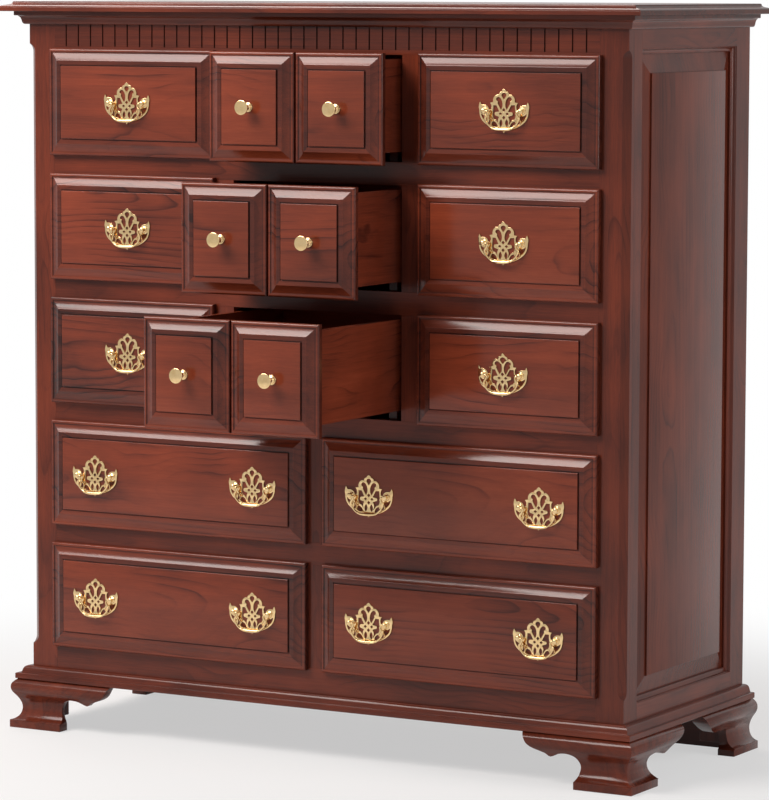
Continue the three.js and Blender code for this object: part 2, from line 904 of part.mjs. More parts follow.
const chest = new THREE.Group();
chest.add(
  piece('top_board', topBoard(), cherry()),
  piece('crown_molding', crownMoulding(), cherry()),
  piece('divider_frame', dividerFrame(), cherry()),
  piece('right_side_frame', sideFrame(), cherry()),
  piece('left_side_frame', mirroredX(sideFrame()), cherry()),
  piece('right_side_panel', sidePanel(), cherry()),
  piece('left_side_panel', mirroredX(sidePanel()), cherry()),
  piece('back_panel', backPanel(), backPly()),
  piece('base_molding', baseMoulding(), cherry()),
  piece('front_left_foot', frontFoot(), cherry()),
  piece('front_right_foot', mirroredX(frontFoot()), cherry()),
  piece('rear_left_foot', rearFoot(), cherry()),
  piece('rear_right_foot', mirroredX(rearFoot()), cherry()),
  ...drawers.map(drawerGroup),
);

// The origin is under the middle of the whole chest, the open drawers and their knobs included
const frontReach = seatGap + Math.max(...openings) + fieldProud + seatGap + knobProjection;
chest.position.y = (frontReach - caseDepth) / 2;
chest.updateMatrixWorld(true);

export default chest;
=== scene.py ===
# Block front chest in stained cherry: thirteen drawers, ogee bracket feet, pierced brass pulls, turned knobs.
# Sizes are millimetres from the middle of the face frame's front, at floor level; toScene makes them metres.
import math
import random

import bmesh
import bpy
from mathutils import Matrix, Vector


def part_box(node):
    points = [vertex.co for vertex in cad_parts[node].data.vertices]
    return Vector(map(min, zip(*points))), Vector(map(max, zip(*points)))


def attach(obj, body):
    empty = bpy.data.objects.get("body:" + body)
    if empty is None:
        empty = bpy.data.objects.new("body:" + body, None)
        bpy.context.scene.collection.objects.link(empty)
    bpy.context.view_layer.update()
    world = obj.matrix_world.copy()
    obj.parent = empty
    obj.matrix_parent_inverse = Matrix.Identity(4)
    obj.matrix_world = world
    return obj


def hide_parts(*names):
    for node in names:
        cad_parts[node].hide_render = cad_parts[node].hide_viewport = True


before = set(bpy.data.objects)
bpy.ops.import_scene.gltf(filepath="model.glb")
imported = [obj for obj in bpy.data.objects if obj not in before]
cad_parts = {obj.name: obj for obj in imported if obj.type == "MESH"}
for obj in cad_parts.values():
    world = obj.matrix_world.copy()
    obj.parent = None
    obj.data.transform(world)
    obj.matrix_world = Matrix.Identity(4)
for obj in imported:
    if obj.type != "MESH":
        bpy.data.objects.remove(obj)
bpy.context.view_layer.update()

# open lists the drawers that stand out, and how far
case = {
    "width": 1300, "depth": 514, "footHeight": 97.2, "gap": 0.3, "bottomRail": 73.5, "rail": 43,
    "opening": 198, "frieze": 67, "stile": 57.5, "mullion": 43, "face": 22, "side": 22, "rows": 5,
    "open": {"r1_center": 69, "r2_center": 167, "r3_center": 295.5},
}
halfWidth = case["width"] / 2
caseBottom = case["footHeight"] + case["gap"]
rowPitch = case["opening"] + case["rail"]
topHead = caseBottom + case["bottomRail"] + (case["rows"] - 1) * rowPitch + case["opening"]
caseTop = topHead + case["frieze"]
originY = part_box("divider_frame")[0].y * 1000


def toScene(point):
    return (point[0] / 1000, (point[1] + originY) / 1000, point[2] / 1000)


def colour(red, green, blue):
    linear = [c / 255 / 12.92 if c <= 10 else ((c / 255 + 0.055) / 1.055) ** 2.4
              for c in (red, green, blue)]
    return (*linear, 1)


def grey(value):
    return (value, value, value, 1)


# Materials

# Links what comes from another node and sets what is a plain value
def addNode(tree, kind, values=None, **settings):
    node = tree.nodes.new(kind)
    for label, setting in settings.items():
        setattr(node, label, setting)
    for socket, value in (values or {}).items():
        if isinstance(value, bpy.types.NodeSocket):
            tree.links.new(value, node.inputs[socket])
        else:
            node.inputs[socket].default_value = value
    return node


def newMaterial(name):
    material = bpy.data.materials.new(name)
    material.use_nodes = True
    return material, material.node_tree, material.node_tree.nodes["Principled BSDF"]


def addMath(tree, operation, *values):
    return addNode(tree, "ShaderNodeMath", dict(enumerate(values)), operation=operation).outputs[0]


def addNoise(tree, vector, stretch, detail=2.0, roughness=0.5):
    mapping = addNode(tree, "ShaderNodeMapping", {"Vector": vector, "Scale": stretch})
    noise = addNode(tree, "ShaderNodeTexNoise", {"Vector": mapping.outputs["Vector"], "Scale": 1.0,
                                                 "Detail": detail, "Roughness": roughness})
    return noise.outputs["Fac"]


def addRamp(tree, factor, stops):
    ramp = addNode(tree, "ShaderNodeValToRGB", {"Fac": factor})
    elements = ramp.color_ramp.elements
    while len(elements) < len(stops):
        elements.new(0.5)
    for element, (position, value) in zip(elements, stops):
        element.position = position
        element.color = value
    return ramp.outputs["Color"]


def addAttribute(tree, name):
    return addNode(tree, "ShaderNodeAttribute", attribute_name=name).outputs


# A texture that swings evenly about a middle value
def swing(tree, texture, share, middle=0.0):
    return addMath(tree, "MULTIPLY_ADD", texture, share, middle - share / 2)


def addBump(tree, shader, height, strength, distance):
    bump = addNode(tree, "ShaderNodeBump", {"Height": height, "Strength": strength, "Distance": distance})
    tree.links.new(bump.outputs["Normal"], shader.inputs["Normal"])


# The wood reads each board's own grain coordinates: x runs along the board, y and z across the rings.
# Each texture has its stretch along those, its detail, its roughness and its share.
woodLook = {
    "stops": [(0.0, colour(44, 19, 15)), (0.33, colour(92, 40, 27)), (0.62, colour(130, 57, 35)),
              (1.0, colour(162, 79, 50))],
    "base": 0.555, "roughness": 0.18, "roughnessSwing": 0.1, "specular": 0.37,
    "ringSpacing": 0.0105, "ringDepth": 0.36, "ringContrast": 4.0, "ringLevel": -1.75, "ringFloor": 0.1,
    "ring": [(0.0, grey(0.1)), (0.45, grey(0.0)), (0.8, grey(0.45)), (0.93, grey(1.0)), (1.0, grey(0.1))],
    "sway": ((3.2, 4.5, 4.5), 1.0, 0.5, 0.07),
    "ripple": ((9, 16, 16), 2.0, 0.5, 0.014),
    "fade": ((6, 14, 14), 2.0, 0.5),
    "pore": ((34, 1150, 1150), 1.0, 0.5, 0.16),
    "fibre": ((6, 360, 360), 3.0, 0.65, 0.24),
    "streak": ((1.6, 40, 40), 2.0, 0.55, 0.3),
    "cloud": ((5, 9, 9), 2.0, 0.5, 0.5),
    "bump": (0.12, 0.0004),
}


# Growth rings round the board's own centre line, swaying and fading along it
def growthRings(tree, grain, look):
    split = addNode(tree, "ShaderNodeSeparateXYZ", {0: grain}).outputs
    sway, ripple = [swing(tree, addNoise(tree, grain, *look[part][:3]), look[part][3])
                    for part in ("sway", "ripple")]
    bend = addMath(tree, "ADD", sway, ripple)
    squares = []
    for axis in ("Y", "Z"):
        across = addMath(tree, "ADD", split[axis], bend)
        squares.append(addMath(tree, "MULTIPLY", across, across))
    radius = addMath(tree, "SQRT", addMath(tree, "ADD", *squares))
    ring = addMath(tree, "FRACT", addMath(tree, "MULTIPLY", radius, 1 / look["ringSpacing"]))
    fade = addNoise(tree, grain, *look["fade"])
    amount = addMath(tree, "MULTIPLY_ADD", fade, look["ringContrast"], look["ringLevel"])
    clamped = addNode(tree, "ShaderNodeClamp", {"Value": amount, "Min": look["ringFloor"]})
    return addMath(tree, "MULTIPLY", addRamp(tree, ring, look["ring"]), clamped.outputs[0])


def woodMaterial(name, look, toneAndShade=0.0, figure=1.0, sheen=1.0):
    material, tree, shader = newMaterial(name)
    grain = addAttribute(tree, "grain")["Vector"]
    rings = growthRings(tree, grain, look)
    total = addMath(tree, "MULTIPLY_ADD", rings, -look["ringDepth"] * figure, look["base"] + toneAndShade)
    textures = {}
    for part in ("pore", "fibre", "streak", "cloud"):
        stretch, detail, roughness, share = look[part]
        textures[part] = addNoise(tree, grain, stretch, detail, roughness)
        total = addMath(tree, "ADD", total, swing(tree, textures[part], share))
    # Darker where the glazeAndShade attribute says: the end grain's own stain, glaze in the fronts' recesses,
    # and painted shade on the fronts' borders
    total = addMath(tree, "SUBTRACT", total, addAttribute(tree, "glazeAndShade")["Fac"])
    fibre = textures["fibre"]
    tree.links.new(addRamp(tree, total, look["stops"]), shader.inputs["Base Color"])
    tree.links.new(swing(tree, fibre, look["roughnessSwing"], look["roughness"]), shader.inputs["Roughness"])
    shader.inputs["Specular IOR Level"].default_value = look["specular"] * sheen
    addBump(tree, shader, fibre, *look["bump"])
    return material


brassLook = {"texture": (90, 90, 90), "stops": [(0.3, colour(230, 196, 142)), (0.6, colour(240, 208, 156))],
             "roughness": 0.14, "roughnessSwing": 0.1, "bump": (0.05, 0.0002)}
steelLook = {"texture": (720, 32, 720), "stops": [(0.3, colour(150, 150, 150)), (0.7, colour(196, 196, 194))],
             "roughness": 0.34, "roughnessSwing": 0.2, "bump": None}


def metalMaterial(name, look):
    material, tree, shader = newMaterial(name)
    place = addNode(tree, "ShaderNodeTexCoord").outputs["Object"]
    tarnish = addNoise(tree, place, look["texture"])
    tree.links.new(addRamp(tree, tarnish, look["stops"]), shader.inputs["Base Color"])
    rough = swing(tree, tarnish, look["roughnessSwing"], look["roughness"])
    tree.links.new(rough, shader.inputs["Roughness"])
    shader.inputs["Metallic"].default_value = 1
    if look["bump"]:
        addBump(tree, shader, tarnish, *look["bump"])
    return material


backLook = {
    "stops": [(0.15, colour(96, 58, 38)), (0.5, colour(138, 90, 60)), (0.9, colour(168, 118, 82))],
    "sheet": ((19.8, 19.8, 1.98), 4.0, 0.6), "fibre": ((260, 260, 5), 3.0), "fibreShare": 0.3,
    "roughness": 0.62, "bump": (0.15, 0.0003),
}


def backMaterial(name, look):
    material, tree, shader = newMaterial(name)
    place = addNode(tree, "ShaderNodeTexCoord").outputs["Object"]
    sheet, fibre = addNoise(tree, place, *look["sheet"]), addNoise(tree, place, *look["fibre"])
    total = addMath(tree, "ADD", sheet, swing(tree, fibre, look["fibreShare"]))
    tree.links.new(addRamp(tree, total, look["stops"]), shader.inputs["Base Color"])
    shader.inputs["Roughness"].default_value = look["roughness"]
    addBump(tree, shader, fibre, *look["bump"])
    return material


cherry = woodMaterial("stainedCherry", woodLook)
# The case's copy of the cherry is darker: partly a darker stain, partly painted shade for the frame set back
# behind the fronts
shadedFrameCherry = woodMaterial("darkStainedShadedCherry", woodLook, toneAndShade=-0.15, figure=0.5, sheen=0.8)
brass = metalMaterial("polishedBrass", brassLook)
steel = metalMaterial("zincSteel", steelLook)
backWood = backMaterial("backPanelWood", backLook)
print("materials made")


# Helpers for meshes

axisIndex = {"x": 0, "y": 1, "z": 2}
# How each board is sawn out of its log, drawn from the board's own seed
sawing = {"shift": 3000, "across": 0.3, "depth": (26, 95), "tilt": (0.015, 0.07), "lean": 0.012,
          "endStain": 0.16}


def addObject(name, data):
    thing = bpy.data.objects.new(name, data)
    bpy.context.scene.collection.objects.link(thing)
    return thing


def evaluatedMesh(thing):
    return bpy.data.meshes.new_from_object(thing.evaluated_get(bpy.context.evaluated_depsgraph_get()))


def newBuild():
    return {"points": [], "faces": [], "grain": [], "glazeAndShade": [], "hard": set()}


# How much of a face is end grain, which drinks more stain
def endShare(points, face, along):
    a, b, c = (Vector(points[face[k]]) for k in (0, len(face) // 3, 2 * len(face) // 3))
    normal = (b - a).cross(c - a)
    return abs(normal[along]) / normal.length if normal.length else 0


# axes names the grain's direction, the board's width and its thickness, such as "xzy"; the seed picks the
# board's place in its log
def addBody(build, points, faces, axes="xzy", seed=0, hard=(), figure=1.0, glazeAndShade=None):
    dice = random.Random(seed)
    along, wide, thick = (axisIndex[letter] for letter in axes)
    low = [min(p[k] for p in points) for k in range(3)]
    high = [max(p[k] for p in points) for k in range(3)]
    middle = [(a + b) / 2 for a, b in zip(low, high)]
    shift = dice.uniform(-sawing["shift"], sawing["shift"])
    across = dice.uniform(-sawing["across"], sawing["across"]) * (high[wide] - low[wide])
    depth = dice.uniform(*sawing["depth"]) * dice.choice((-1, 1))
    tilt = dice.uniform(*sawing["tilt"]) * dice.choice((-1, 1)) * figure
    lean = dice.uniform(-sawing["lean"], sawing["lean"])
    first = len(build["points"])
    for point in points:
        run = point[along] - middle[along]
        build["points"].append(toScene(point))
        build["grain"].extend((
            (run + shift) / 1000,
            (point[wide] - middle[wide] + across + lean * run) / 1000,
            (point[thick] - middle[thick] + depth + tilt * run) / 1000,
        ))
    build["faces"].extend([[first + k for k in face] for face in faces])
    stainsAndShades = glazeAndShade or [0] * len(faces)
    for stainAndShade, face in zip(stainsAndShades, faces):
        build["glazeAndShade"].append(stainAndShade + sawing["endStain"] * endShare(points, face, along))
    build["hard"].update(frozenset((first + a, first + b)) for a, b in hard)


# Joins rings of equal count. hardColumns keep a sharp edge from ring to ring, and glazeAndShade gives the
# darkening of
# the face at ring r, column k: partly glaze, partly painted shade.
def loft(build, rings, axes="xzy", seed=0, hardColumns=(), figure=1.0, glazeAndShade=None):
    count = len(rings[0])
    faces, hard, stainsAndShades = [], [], []
    for r in range(len(rings) - 1):
        lower, upper = r * count, (r + 1) * count
        for k in range(count):
            n = (k + 1) % count
            faces.append([lower + k, lower + n, upper + n, upper + k])
            stainsAndShades.append(glazeAndShade(r, k) if glazeAndShade else 0)
        hard.extend((lower + k, upper + k) for k in hardColumns)
    last = (len(rings) - 1) * count
    faces.append(list(range(count))[::-1])
    faces.append([last + k for k in range(count)])
    stainsAndShades += [0, 0]
    addBody(build, [p for ring in rings for p in ring], faces, axes, seed, hard, figure, stainsAndShades)


# A box with eased edges: each corner has three points, one in each of the faces that meet there
def board(build, x, y, z, axes="xzy", seed=0, ease=0.4, figure=1.0):
    spans = (x, y, z)
    points = []
    for corner in range(8):
        side = [(corner >> k) & 1 for k in (0, 1, 2)]
        for flat in range(3):
            inward = [0 if k == flat else (-ease if side[k] else ease) for k in range(3)]
            points.append([spans[k][side[k]] + inward[k] for k in range(3)])
    faces = []
    for axis in range(3):
        b, c = [k for k in range(3) if k != axis]
        around = ((0, 0), (1, 0), (1, 1), (0, 1))
        for s in (0, 1):
            faces.append([3 * ((s << axis) | (i << b) | (j << c)) + axis for i, j in around])
        for i in (0, 1):
            for j in (0, 1):
                near = (i << b) | (j << c)
                far = near | (1 << axis)
                faces.append([3 * near + b, 3 * far + b, 3 * far + c, 3 * near + c])
    faces.extend([3 * corner, 3 * corner + 1, 3 * corner + 2] for corner in range(8))
    addBody(build, points, faces, axes, seed, (), figure)


def buildMesh(name, build):
    mesh = bpy.data.meshes.new(name)
    mesh.from_pydata(build["points"], [], build["faces"])
    mesh.attributes.new("grain", "FLOAT_VECTOR", "POINT").data.foreach_set("vector", build["grain"])
    mesh.attributes.new("glazeAndShade", "FLOAT", "FACE").data.foreach_set("value", build["glazeAndShade"])
    return mesh


# Welds what lies closer than the given distance in metres and turns every face outward
def closeMesh(mesh, distance):
    work = bmesh.new()
    work.from_mesh(mesh)
    bmesh.ops.remove_doubles(work, verts=work.verts, dist=distance)
    bmesh.ops.recalc_face_normals(work, faces=work.faces)
    work.to_mesh(mesh)
    work.free()


def shadeSmooth(mesh, degrees):
    mesh.polygons.foreach_set("use_smooth", [True] * len(mesh.polygons))
    mesh.set_sharp_from_angle(angle=math.radians(degrees))


def dress(piece, material, body, nodes=()):
    if material and not piece.data.materials:
        piece.data.materials.append(material)
    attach(piece, body)
    if nodes:
        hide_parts(*nodes)


def finishPiece(name, build, material, body, nodes=(), smooth=30.0):
    mesh = buildMesh(name, build)
    work = bmesh.new()
    work.from_mesh(mesh)
    bmesh.ops.recalc_face_normals(work, faces=work.faces)
    limit = math.radians(smooth)
    for edge in work.edges:
        pair = frozenset(v.index for v in edge.verts)
        gentle = len(edge.link_faces) == 2 and edge.calc_face_angle() < limit
        edge.smooth = gentle and pair not in build["hard"]
    for face in work.faces:
        face.smooth = True
    work.to_mesh(mesh)
    work.free()
    dress(addObject(name, mesh), material, body, nodes)


# A piece of the case in the darker cherry, partly a darker stain and partly painted shade, that stands for
# one node
def casePiece(name, build, node):
    finishPiece(name, build, shadedFrameCherry, "case", [node])


# An object to cut with, carve or copy, removed again by whoever asks for it
def plainPiece(build):
    mesh = buildMesh("work", build)
    closeMesh(mesh, 0)
    return addObject("work", mesh)


def shares(steps):
    return [k / steps for k in range(1, steps + 1)]


# Shares of the width and rise of a quarter round
def quarter(steps):
    turns = [k / steps * math.pi / 2 for k in range(1, steps + 1)]
    return [(math.sin(t), 1 - math.cos(t)) for t in turns]


# Shares of the width and rise of a hollow whose slope turns from one angle to another
def arc(start, end, steps):
    a, b = math.radians(start), math.radians(end)
    turns = [a + (b - a) * k / steps for k in range(1, steps + 1)]
    wide, high = math.sin(b) - math.sin(a), math.cos(a) - math.cos(b)
    return [((math.sin(t) - math.sin(a)) / wide, (math.cos(a) - math.cos(t)) / high) for t in turns]


# A cubic from b to c that leaves and arrives in line with their neighbours
def between(a, b, c, d, t):
    square, cube = 2 * a - 5 * b + 4 * c - d, 3 * b - a - 3 * c + d
    return 0.5 * (2 * b + (c - a) * t + square * t ** 2 + cube * t ** 3)


# A smooth line through points of any dimension
def smoothLine(points, steps=4):
    last = len(points) - 1
    line = []
    for i in range(last):
        four = [points[min(max(i + k, 0), last)] for k in (-1, 0, 1, 2)]
        line.extend(tuple(between(*values, k / steps) for values in zip(*four)) for k in range(steps))
    line.append(tuple(points[-1]))
    return line


# Camera, light and floor

view = {"lens": 183.888, "place": (3913.9, -6583.7, 1467.1), "yaw": 29.773, "pitch": 5.844, "roll": 0.152}

camera = bpy.data.cameras.new("camera")
camera.lens = view["lens"]
camera.sensor_width = 36
camera.clip_end = 100
cameraObject = addObject("camera", camera)
yaw, pitch, roll = (math.radians(view[part]) for part in ("yaw", "pitch", "roll"))
forward = Vector((-math.sin(yaw) * math.cos(pitch), math.cos(yaw) * math.cos(pitch), -math.sin(pitch)))
level = Vector((math.cos(yaw), math.sin(yaw), 0))
upright = level.cross(forward)
right = math.cos(roll) * level + math.sin(roll) * upright
above = -math.sin(roll) * level + math.cos(roll) * upright
turn = Matrix((right, above, -forward)).transposed().to_4x4()
cameraObject.matrix_world = Matrix.Translation(toScene(view["place"])) @ turn
bpy.context.scene.camera = cameraObject
bpy.context.scene.view_settings.view_transform = "Standard"

# sky lights the chest, mirrored is the white background's strength in its polish, and the floor turns white
# from near to far, in metres
studio = {
    "sky": 0.11, "mirrored": 0.6, "floor": 0.85, "floorRoughness": 0.9, "floorSpecular": 0.1,
    "glow": 0.55, "near": 0.8, "far": 2.1, "reach": 60,
    "lamps": {
        "key": {"place": (-1.4, -2.0, 3.1), "aim": (0.0, -0.1, 0.95), "size": (2.2, 1.6), "watts": 126,
                "tint": (1.0, 0.94, 0.9)},
        "side": {"place": (4.2, 0.3, 1.9), "aim": (0.65, 0.1, 0.7), "size": (2.0, 2.0), "watts": 55,
                 "tint": (1, 1, 1)},
        "rim": {"place": (-1.4, 1.7, 3.0), "aim": (0.0, 0.0, 1.4), "size": (2.2, 1.2), "watts": 34,
                "tint": (1.0, 0.86, 0.8)},
    },
}


def softLight(name, look):
    data = bpy.data.lights.new(name, "AREA")
    data.shape = "RECTANGLE"
    data.size, data.size_y = look["size"]
    data.energy = look["watts"]
    data.color = look["tint"]
    lamp = addObject(name, data)
    lamp.location = look["place"]
    lamp.rotation_euler = (Vector(look["aim"]) - Vector(look["place"])).to_track_quat("-Z", "Y").to_euler()


# One for the rays that see the white background, less for those that mirror it
def mirrorRays(tree):
    path = addNode(tree, "ShaderNodeLightPath").outputs
    seen = addMath(tree, "MULTIPLY_ADD", path["Is Glossy Ray"], studio["mirrored"], path["Is Camera Ray"])
    return addMath(tree, "MINIMUM", addMath(tree, "ADD", seen, path["Is Transmission Ray"]), 1)


def buildWorld():
    world = bpy.data.worlds.new("studio")
    bpy.context.scene.world = world
    world.use_nodes = True
    tree = world.node_tree
    background = tree.nodes["Background"]
    background.inputs["Color"].default_value = grey(1)
    strength = addMath(tree, "MULTIPLY_ADD", mirrorRays(tree), 1 - studio["sky"], studio["sky"])
    tree.links.new(strength, background.inputs["Strength"])


# A pale floor that turns into the white background away from the chest
def buildFloor():
    mesh = bpy.data.meshes.new("floor")
    reach = studio["reach"]
    corners = [(-reach, -reach, 0), (reach, -reach, 0), (reach, reach, 0), (-reach, reach, 0)]
    mesh.from_pydata(corners, [], [(0, 1, 2, 3)])
    floor = addObject("floor", mesh)
    material, tree, shader = newMaterial("floor")
    shader.inputs["Base Color"].default_value = grey(studio["floor"])
    shader.inputs["Roughness"].default_value = studio["floorRoughness"]
    shader.inputs["Specular IOR Level"].default_value = studio["floorSpecular"]
    place = addNode(tree, "ShaderNodeTexCoord").outputs["Object"]
    distance = addNode(tree, "ShaderNodeVectorMath", {0: place}, operation="LENGTH").outputs["Value"]
    fade = addNode(tree, "ShaderNodeMapRange",
                   {"Value": distance, "From Min": studio["near"], "From Max": studio["far"],
                    "To Min": studio["glow"]}, interpolation_type="SMOOTHSTEP")
    white = addNode(tree, "ShaderNodeEmission")
    amount = addMath(tree, "MULTIPLY", fade.outputs["Result"], mirrorRays(tree))
    blend = addNode(tree, "ShaderNodeMixShader",
                    {"Fac": amount, 1: shader.outputs["BSDF"], 2: white.outputs["Emission"]})
    tree.links.new(blend.outputs["Shader"], tree.nodes["Material Output"].inputs["Surface"])
    mesh.materials.append(material)


for name, look in studio["lamps"].items():
    softLight(name, look)
buildWorld()
buildFloor()
print("camera, lights and floor set")


# Top board, crown and base mouldings

def planRing(outset, z):
    reach = halfWidth + outset
    return [(-reach, -outset, z), (reach, -outset, z), (reach, case["depth"], z), (-reach, case["depth"], z)]


# Mitred strips round both sides and the front, from a section of (outset, height) points
def roundStrips(build, profile, seed):
    rings = [[(side * (halfWidth + outset), case["depth"] if rear else -outset, z) for outset, z in profile]
             for side, rear in ((-1, True), (-1, False), (1, False), (1, True))]
    for k, axes in enumerate(("yzx", "xzy", "yzx")):
        loft(build, [rings[k], rings[k + 1]], axes, seed + k)


# The edge is in shares of the moulded width and of the thickness
top = {
    "thickness": 19.5, "outset": 43, "shoulder": 22.5,
    "strip": 8.2, "stripOutset": 22, "stripEase": 0.6, "stripFoot": 1,
    "edge": [(0.94, 0), (1, 0.06), (1, 0.36), (0.98, 0.44), (0.88, 0.53), (0.7, 0.6), (0.35, 0.67),
             (0.14, 0.75), (0.05, 0.86), (0.03, 0.94), (-0.04, 0.985), (-0.2, 1)],
}


def topBoard():
    build = newBuild()
    stripBottom = caseTop + case["gap"]
    bottom = stripBottom + top["strip"]
    out, foot, ease = top["stripOutset"], top["stripFoot"], top["stripEase"]
    strip = [(out - foot, stripBottom), (out, stripBottom + foot), (out, bottom - ease), (out - ease, bottom)]
    loft(build, [planRing(e, z) for e, z in strip], "xyz", 11, range(4))
    width = top["outset"] - top["shoulder"]
    rings = [planRing(top["shoulder"] + width * min(a, 1), bottom + top["thickness"] * b)
             for a, b in smoothLine(top["edge"], 3)]
    loft(build, rings, "xyz", 12, range(4), figure=0.6)
    casePiece("top_board_moulded", build, "top_board")


# The face is in shares of the outset and the height
crown = {
    "height": 16.5, "outset": 16.5,
    "face": [(0.2, 0), (0.44, 0.02), (0.56, 0.12), (0.64, 0.3), (0.7, 0.55), (0.8, 0.8), (0.96, 0.95),
             (1, 1)],
}


def crownMoulding():
    bottom = caseTop - crown["height"]
    profile = [(case["gap"], bottom)]
    profile += [(crown["outset"] * a, bottom + crown["height"] * b) for a, b in smoothLine(crown["face"])]
    build = newBuild()
    roundStrips(build, profile + [(case["gap"], caseTop)], 21)
    casePiece("crown_moulding_mitred", build, "crown_molding")


# The bead is in shares of its own outset and of its rise over the fillet
base = {
    "height": 25.5, "outset": 26, "beadOutset": 14.5, "fillet": 11, "footEase": 0.8, "headEase": 1.6,
    "bead": [(1.2, 0.0), (1.14, 0.14), (1.06, 0.38), (0.98, 0.6), (0.82, 0.82), (0.56, 0.95), (0.25, 1)],
}


def baseMoulding():
    filletTop = caseBottom + base["fillet"]
    tall = base["height"] - base["fillet"]
    out, foot, head = base["outset"], base["footEase"], base["headEase"]
    profile = [(case["gap"], caseBottom), (out - foot, caseBottom), (out, caseBottom + foot),
               (out, filletTop - head), (out - 0.5, filletTop - 0.5), (out - head, filletTop)]
    profile += [(base["beadOutset"] * a, filletTop + tall * b) for a, b in smoothLine(base["bead"])]
    build = newBuild()
    roundStrips(build, profile + [(case["gap"], filletTop + tall)], 31)
    casePiece("base_moulding_mitred", build, "base_molding")


topBoard()
crownMoulding()
baseMoulding()
print("top and mouldings made")


# Openings and drawer boxes, which the frames and the slides are laid out from

# The bottom sits in the rebate of the sides and the plough of the sub-front
boxes = {"sideGap": 5, "headGap": 8, "footGap": 19, "depth": 460, "wall": 12.7, "bottom": 6, "recess": 9,
         "rebate": 4, "plough": 3, "tails": 4, "pinNarrow": 5.0, "pinWide": 9.0, "pinSlack": 0.12}


def columnCount(row):
    return 3 if row < 3 else 2


def openingSpan(row, column):
    columns = columnCount(row)
    width = (case["width"] - 2 * case["stile"] - (columns - 1) * case["mullion"]) / columns
    x0 = case["stile"] - halfWidth + column * (width + case["mullion"])
    z0 = topHead - case["opening"] - row * rowPitch
    return x0, x0 + width, z0, z0 + case["opening"]


# back is the plane of a front board's back face
drawers = []
for row in range(case["rows"]):
    words = ("left", "center", "right") if columnCount(row) == 3 else ("left", "right")
    for column, side in enumerate(words):
        name = f"r{row + 1}_{side}"
        drawers.append({"name": name, "body": "drawer_" + name, "row": row, "span": openingSpan(row, column),
                        "centre": side == "center", "long": columnCount(row) == 2,
                        "back": -case["gap"] - case["open"].get(name, 0)})


# Face frame, web frames and the kerfed frieze

frames = {"runner": 18, "runnerDrop": 24, "runnerGap": 2, "rearRail": 18, "kicker": 40, "backRoom": 14,
          "joint": 2, "edge": 0.3, "ease": 0.25, "webEase": 0.8, "figure": 0.4,
          "chamfer": 12.5, "taper": 13, "lead": 2, "chamferFoot": 84, "chamferHead": 69, "chamferSteps": 5}
frameInner = halfWidth - case["stile"]
rearRailBack = case["depth"] - frames["backRoom"] - case["gap"]
rearRailFront = rearRailBack - frames["rearRail"]


# A stile with its stopped chamfer on the outer front corner
def cornerStile(build, side, seed):
    inner, outer = side * frameInner, side * halfWidth
    reach, lead, edge, steps = frames["taper"], frames["lead"], frames["edge"], frames["chamferSteps"]
    foot = caseBottom + frames["chamferFoot"] - reach - lead
    head = caseTop - frames["chamferHead"] + reach + lead
    deep = frames["chamfer"] - edge
    swell = [((reach + lead) * s, edge + deep * (1 - (1 - s) ** 2) ** 0.8) for s in shares(steps)]
    stations = [(caseBottom, edge), (foot, edge)] + [(foot + run, cut) for run, cut in swell]
    stations += [(head - run, cut) for run, cut in reversed(swell)] + [(head, edge), (caseTop, edge)]
    rings = [[(inner, 0, z), (outer - side * cut, 0, z), (outer, cut, z), (outer, case["face"], z),
              (inner, case["face"], z)] for z, cut in stations]
    loft(build, rings, "zxy", seed, (0, 1, 2, 3, 4))


def faceFrame(build):
    for side in (-1, 1):
        cornerStile(build, side, 40 + side)
    depth, ends = (0, case["face"]), (-frameInner, frameInner)
    ease, figure = frames["ease"], frames["figure"]
    board(build, ends, depth, (caseBottom, caseBottom + case["bottomRail"]), "xzy", 43, ease, figure)
    for row in range(1, case["rows"]):
        head = openingSpan(row, 0)[3]
        board(build, ends, depth, (head, head + case["rail"]), "xzy", 44 + row, ease, figure)
    for row in range(case["rows"]):
        for column in range(1, columnCount(row)):
            x1, _, z0, z1 = openingSpan(row, column)
            seed = 50 + row * 3 + column
            board(build, (x1 - case["mullion"], x1), depth, (z0, z1), "zxy", seed, ease, figure)


# Runners and kickers under and over the drawers, between the face frame and the rear rails
def webFrames(build):
    railTop = boxes["footGap"] + boxes["recess"] - case["gap"]
    inner = halfWidth - case["side"] - case["gap"]
    railY, webY = (rearRailFront, rearRailBack), (case["face"] - frames["joint"], rearRailFront)
    kickerZ = (caseTop - frames["kicker"], caseTop - 0.1)
    ease, seed = frames["webEase"], 80
    for row in range(case["rows"]):
        z0 = openingSpan(row, 0)[2]
        board(build, (-inner, inner), railY, (z0 - frames["runnerDrop"], z0 + railTop), "xzy", seed, ease)
        seed += 1
    board(build, (-inner, inner), railY, kickerZ, "xzy", seed, ease)
    reach = boxes["sideGap"] + boxes["wall"] + frames["runnerGap"]
    for drawer in drawers:
        x0, x1, z0, _ = drawer["span"]
        for a in (x0 + reach, x1 - reach - frames["runner"]):
            seed += 1
            webX = (a, a + frames["runner"])
            board(build, webX, webY, (z0 - frames["runnerDrop"], z0 + railTop), "yzx", seed, ease)
            if drawer["row"] == 0 and not drawer["centre"]:
                board(build, webX, webY, kickerZ, "yzx", seed + 50, ease)


# The reeds run into the rail by bury, and stand off its bands by tight
kerfs = {"count": 41, "width": 2.6, "depth": 3.4, "foot": 8.5, "head": 10, "ease": 0.3, "bury": 0.5,
         "lap": 0.1, "tight": 0.02}
reedLow, reedHigh = topHead + kerfs["foot"], caseTop - kerfs["head"]


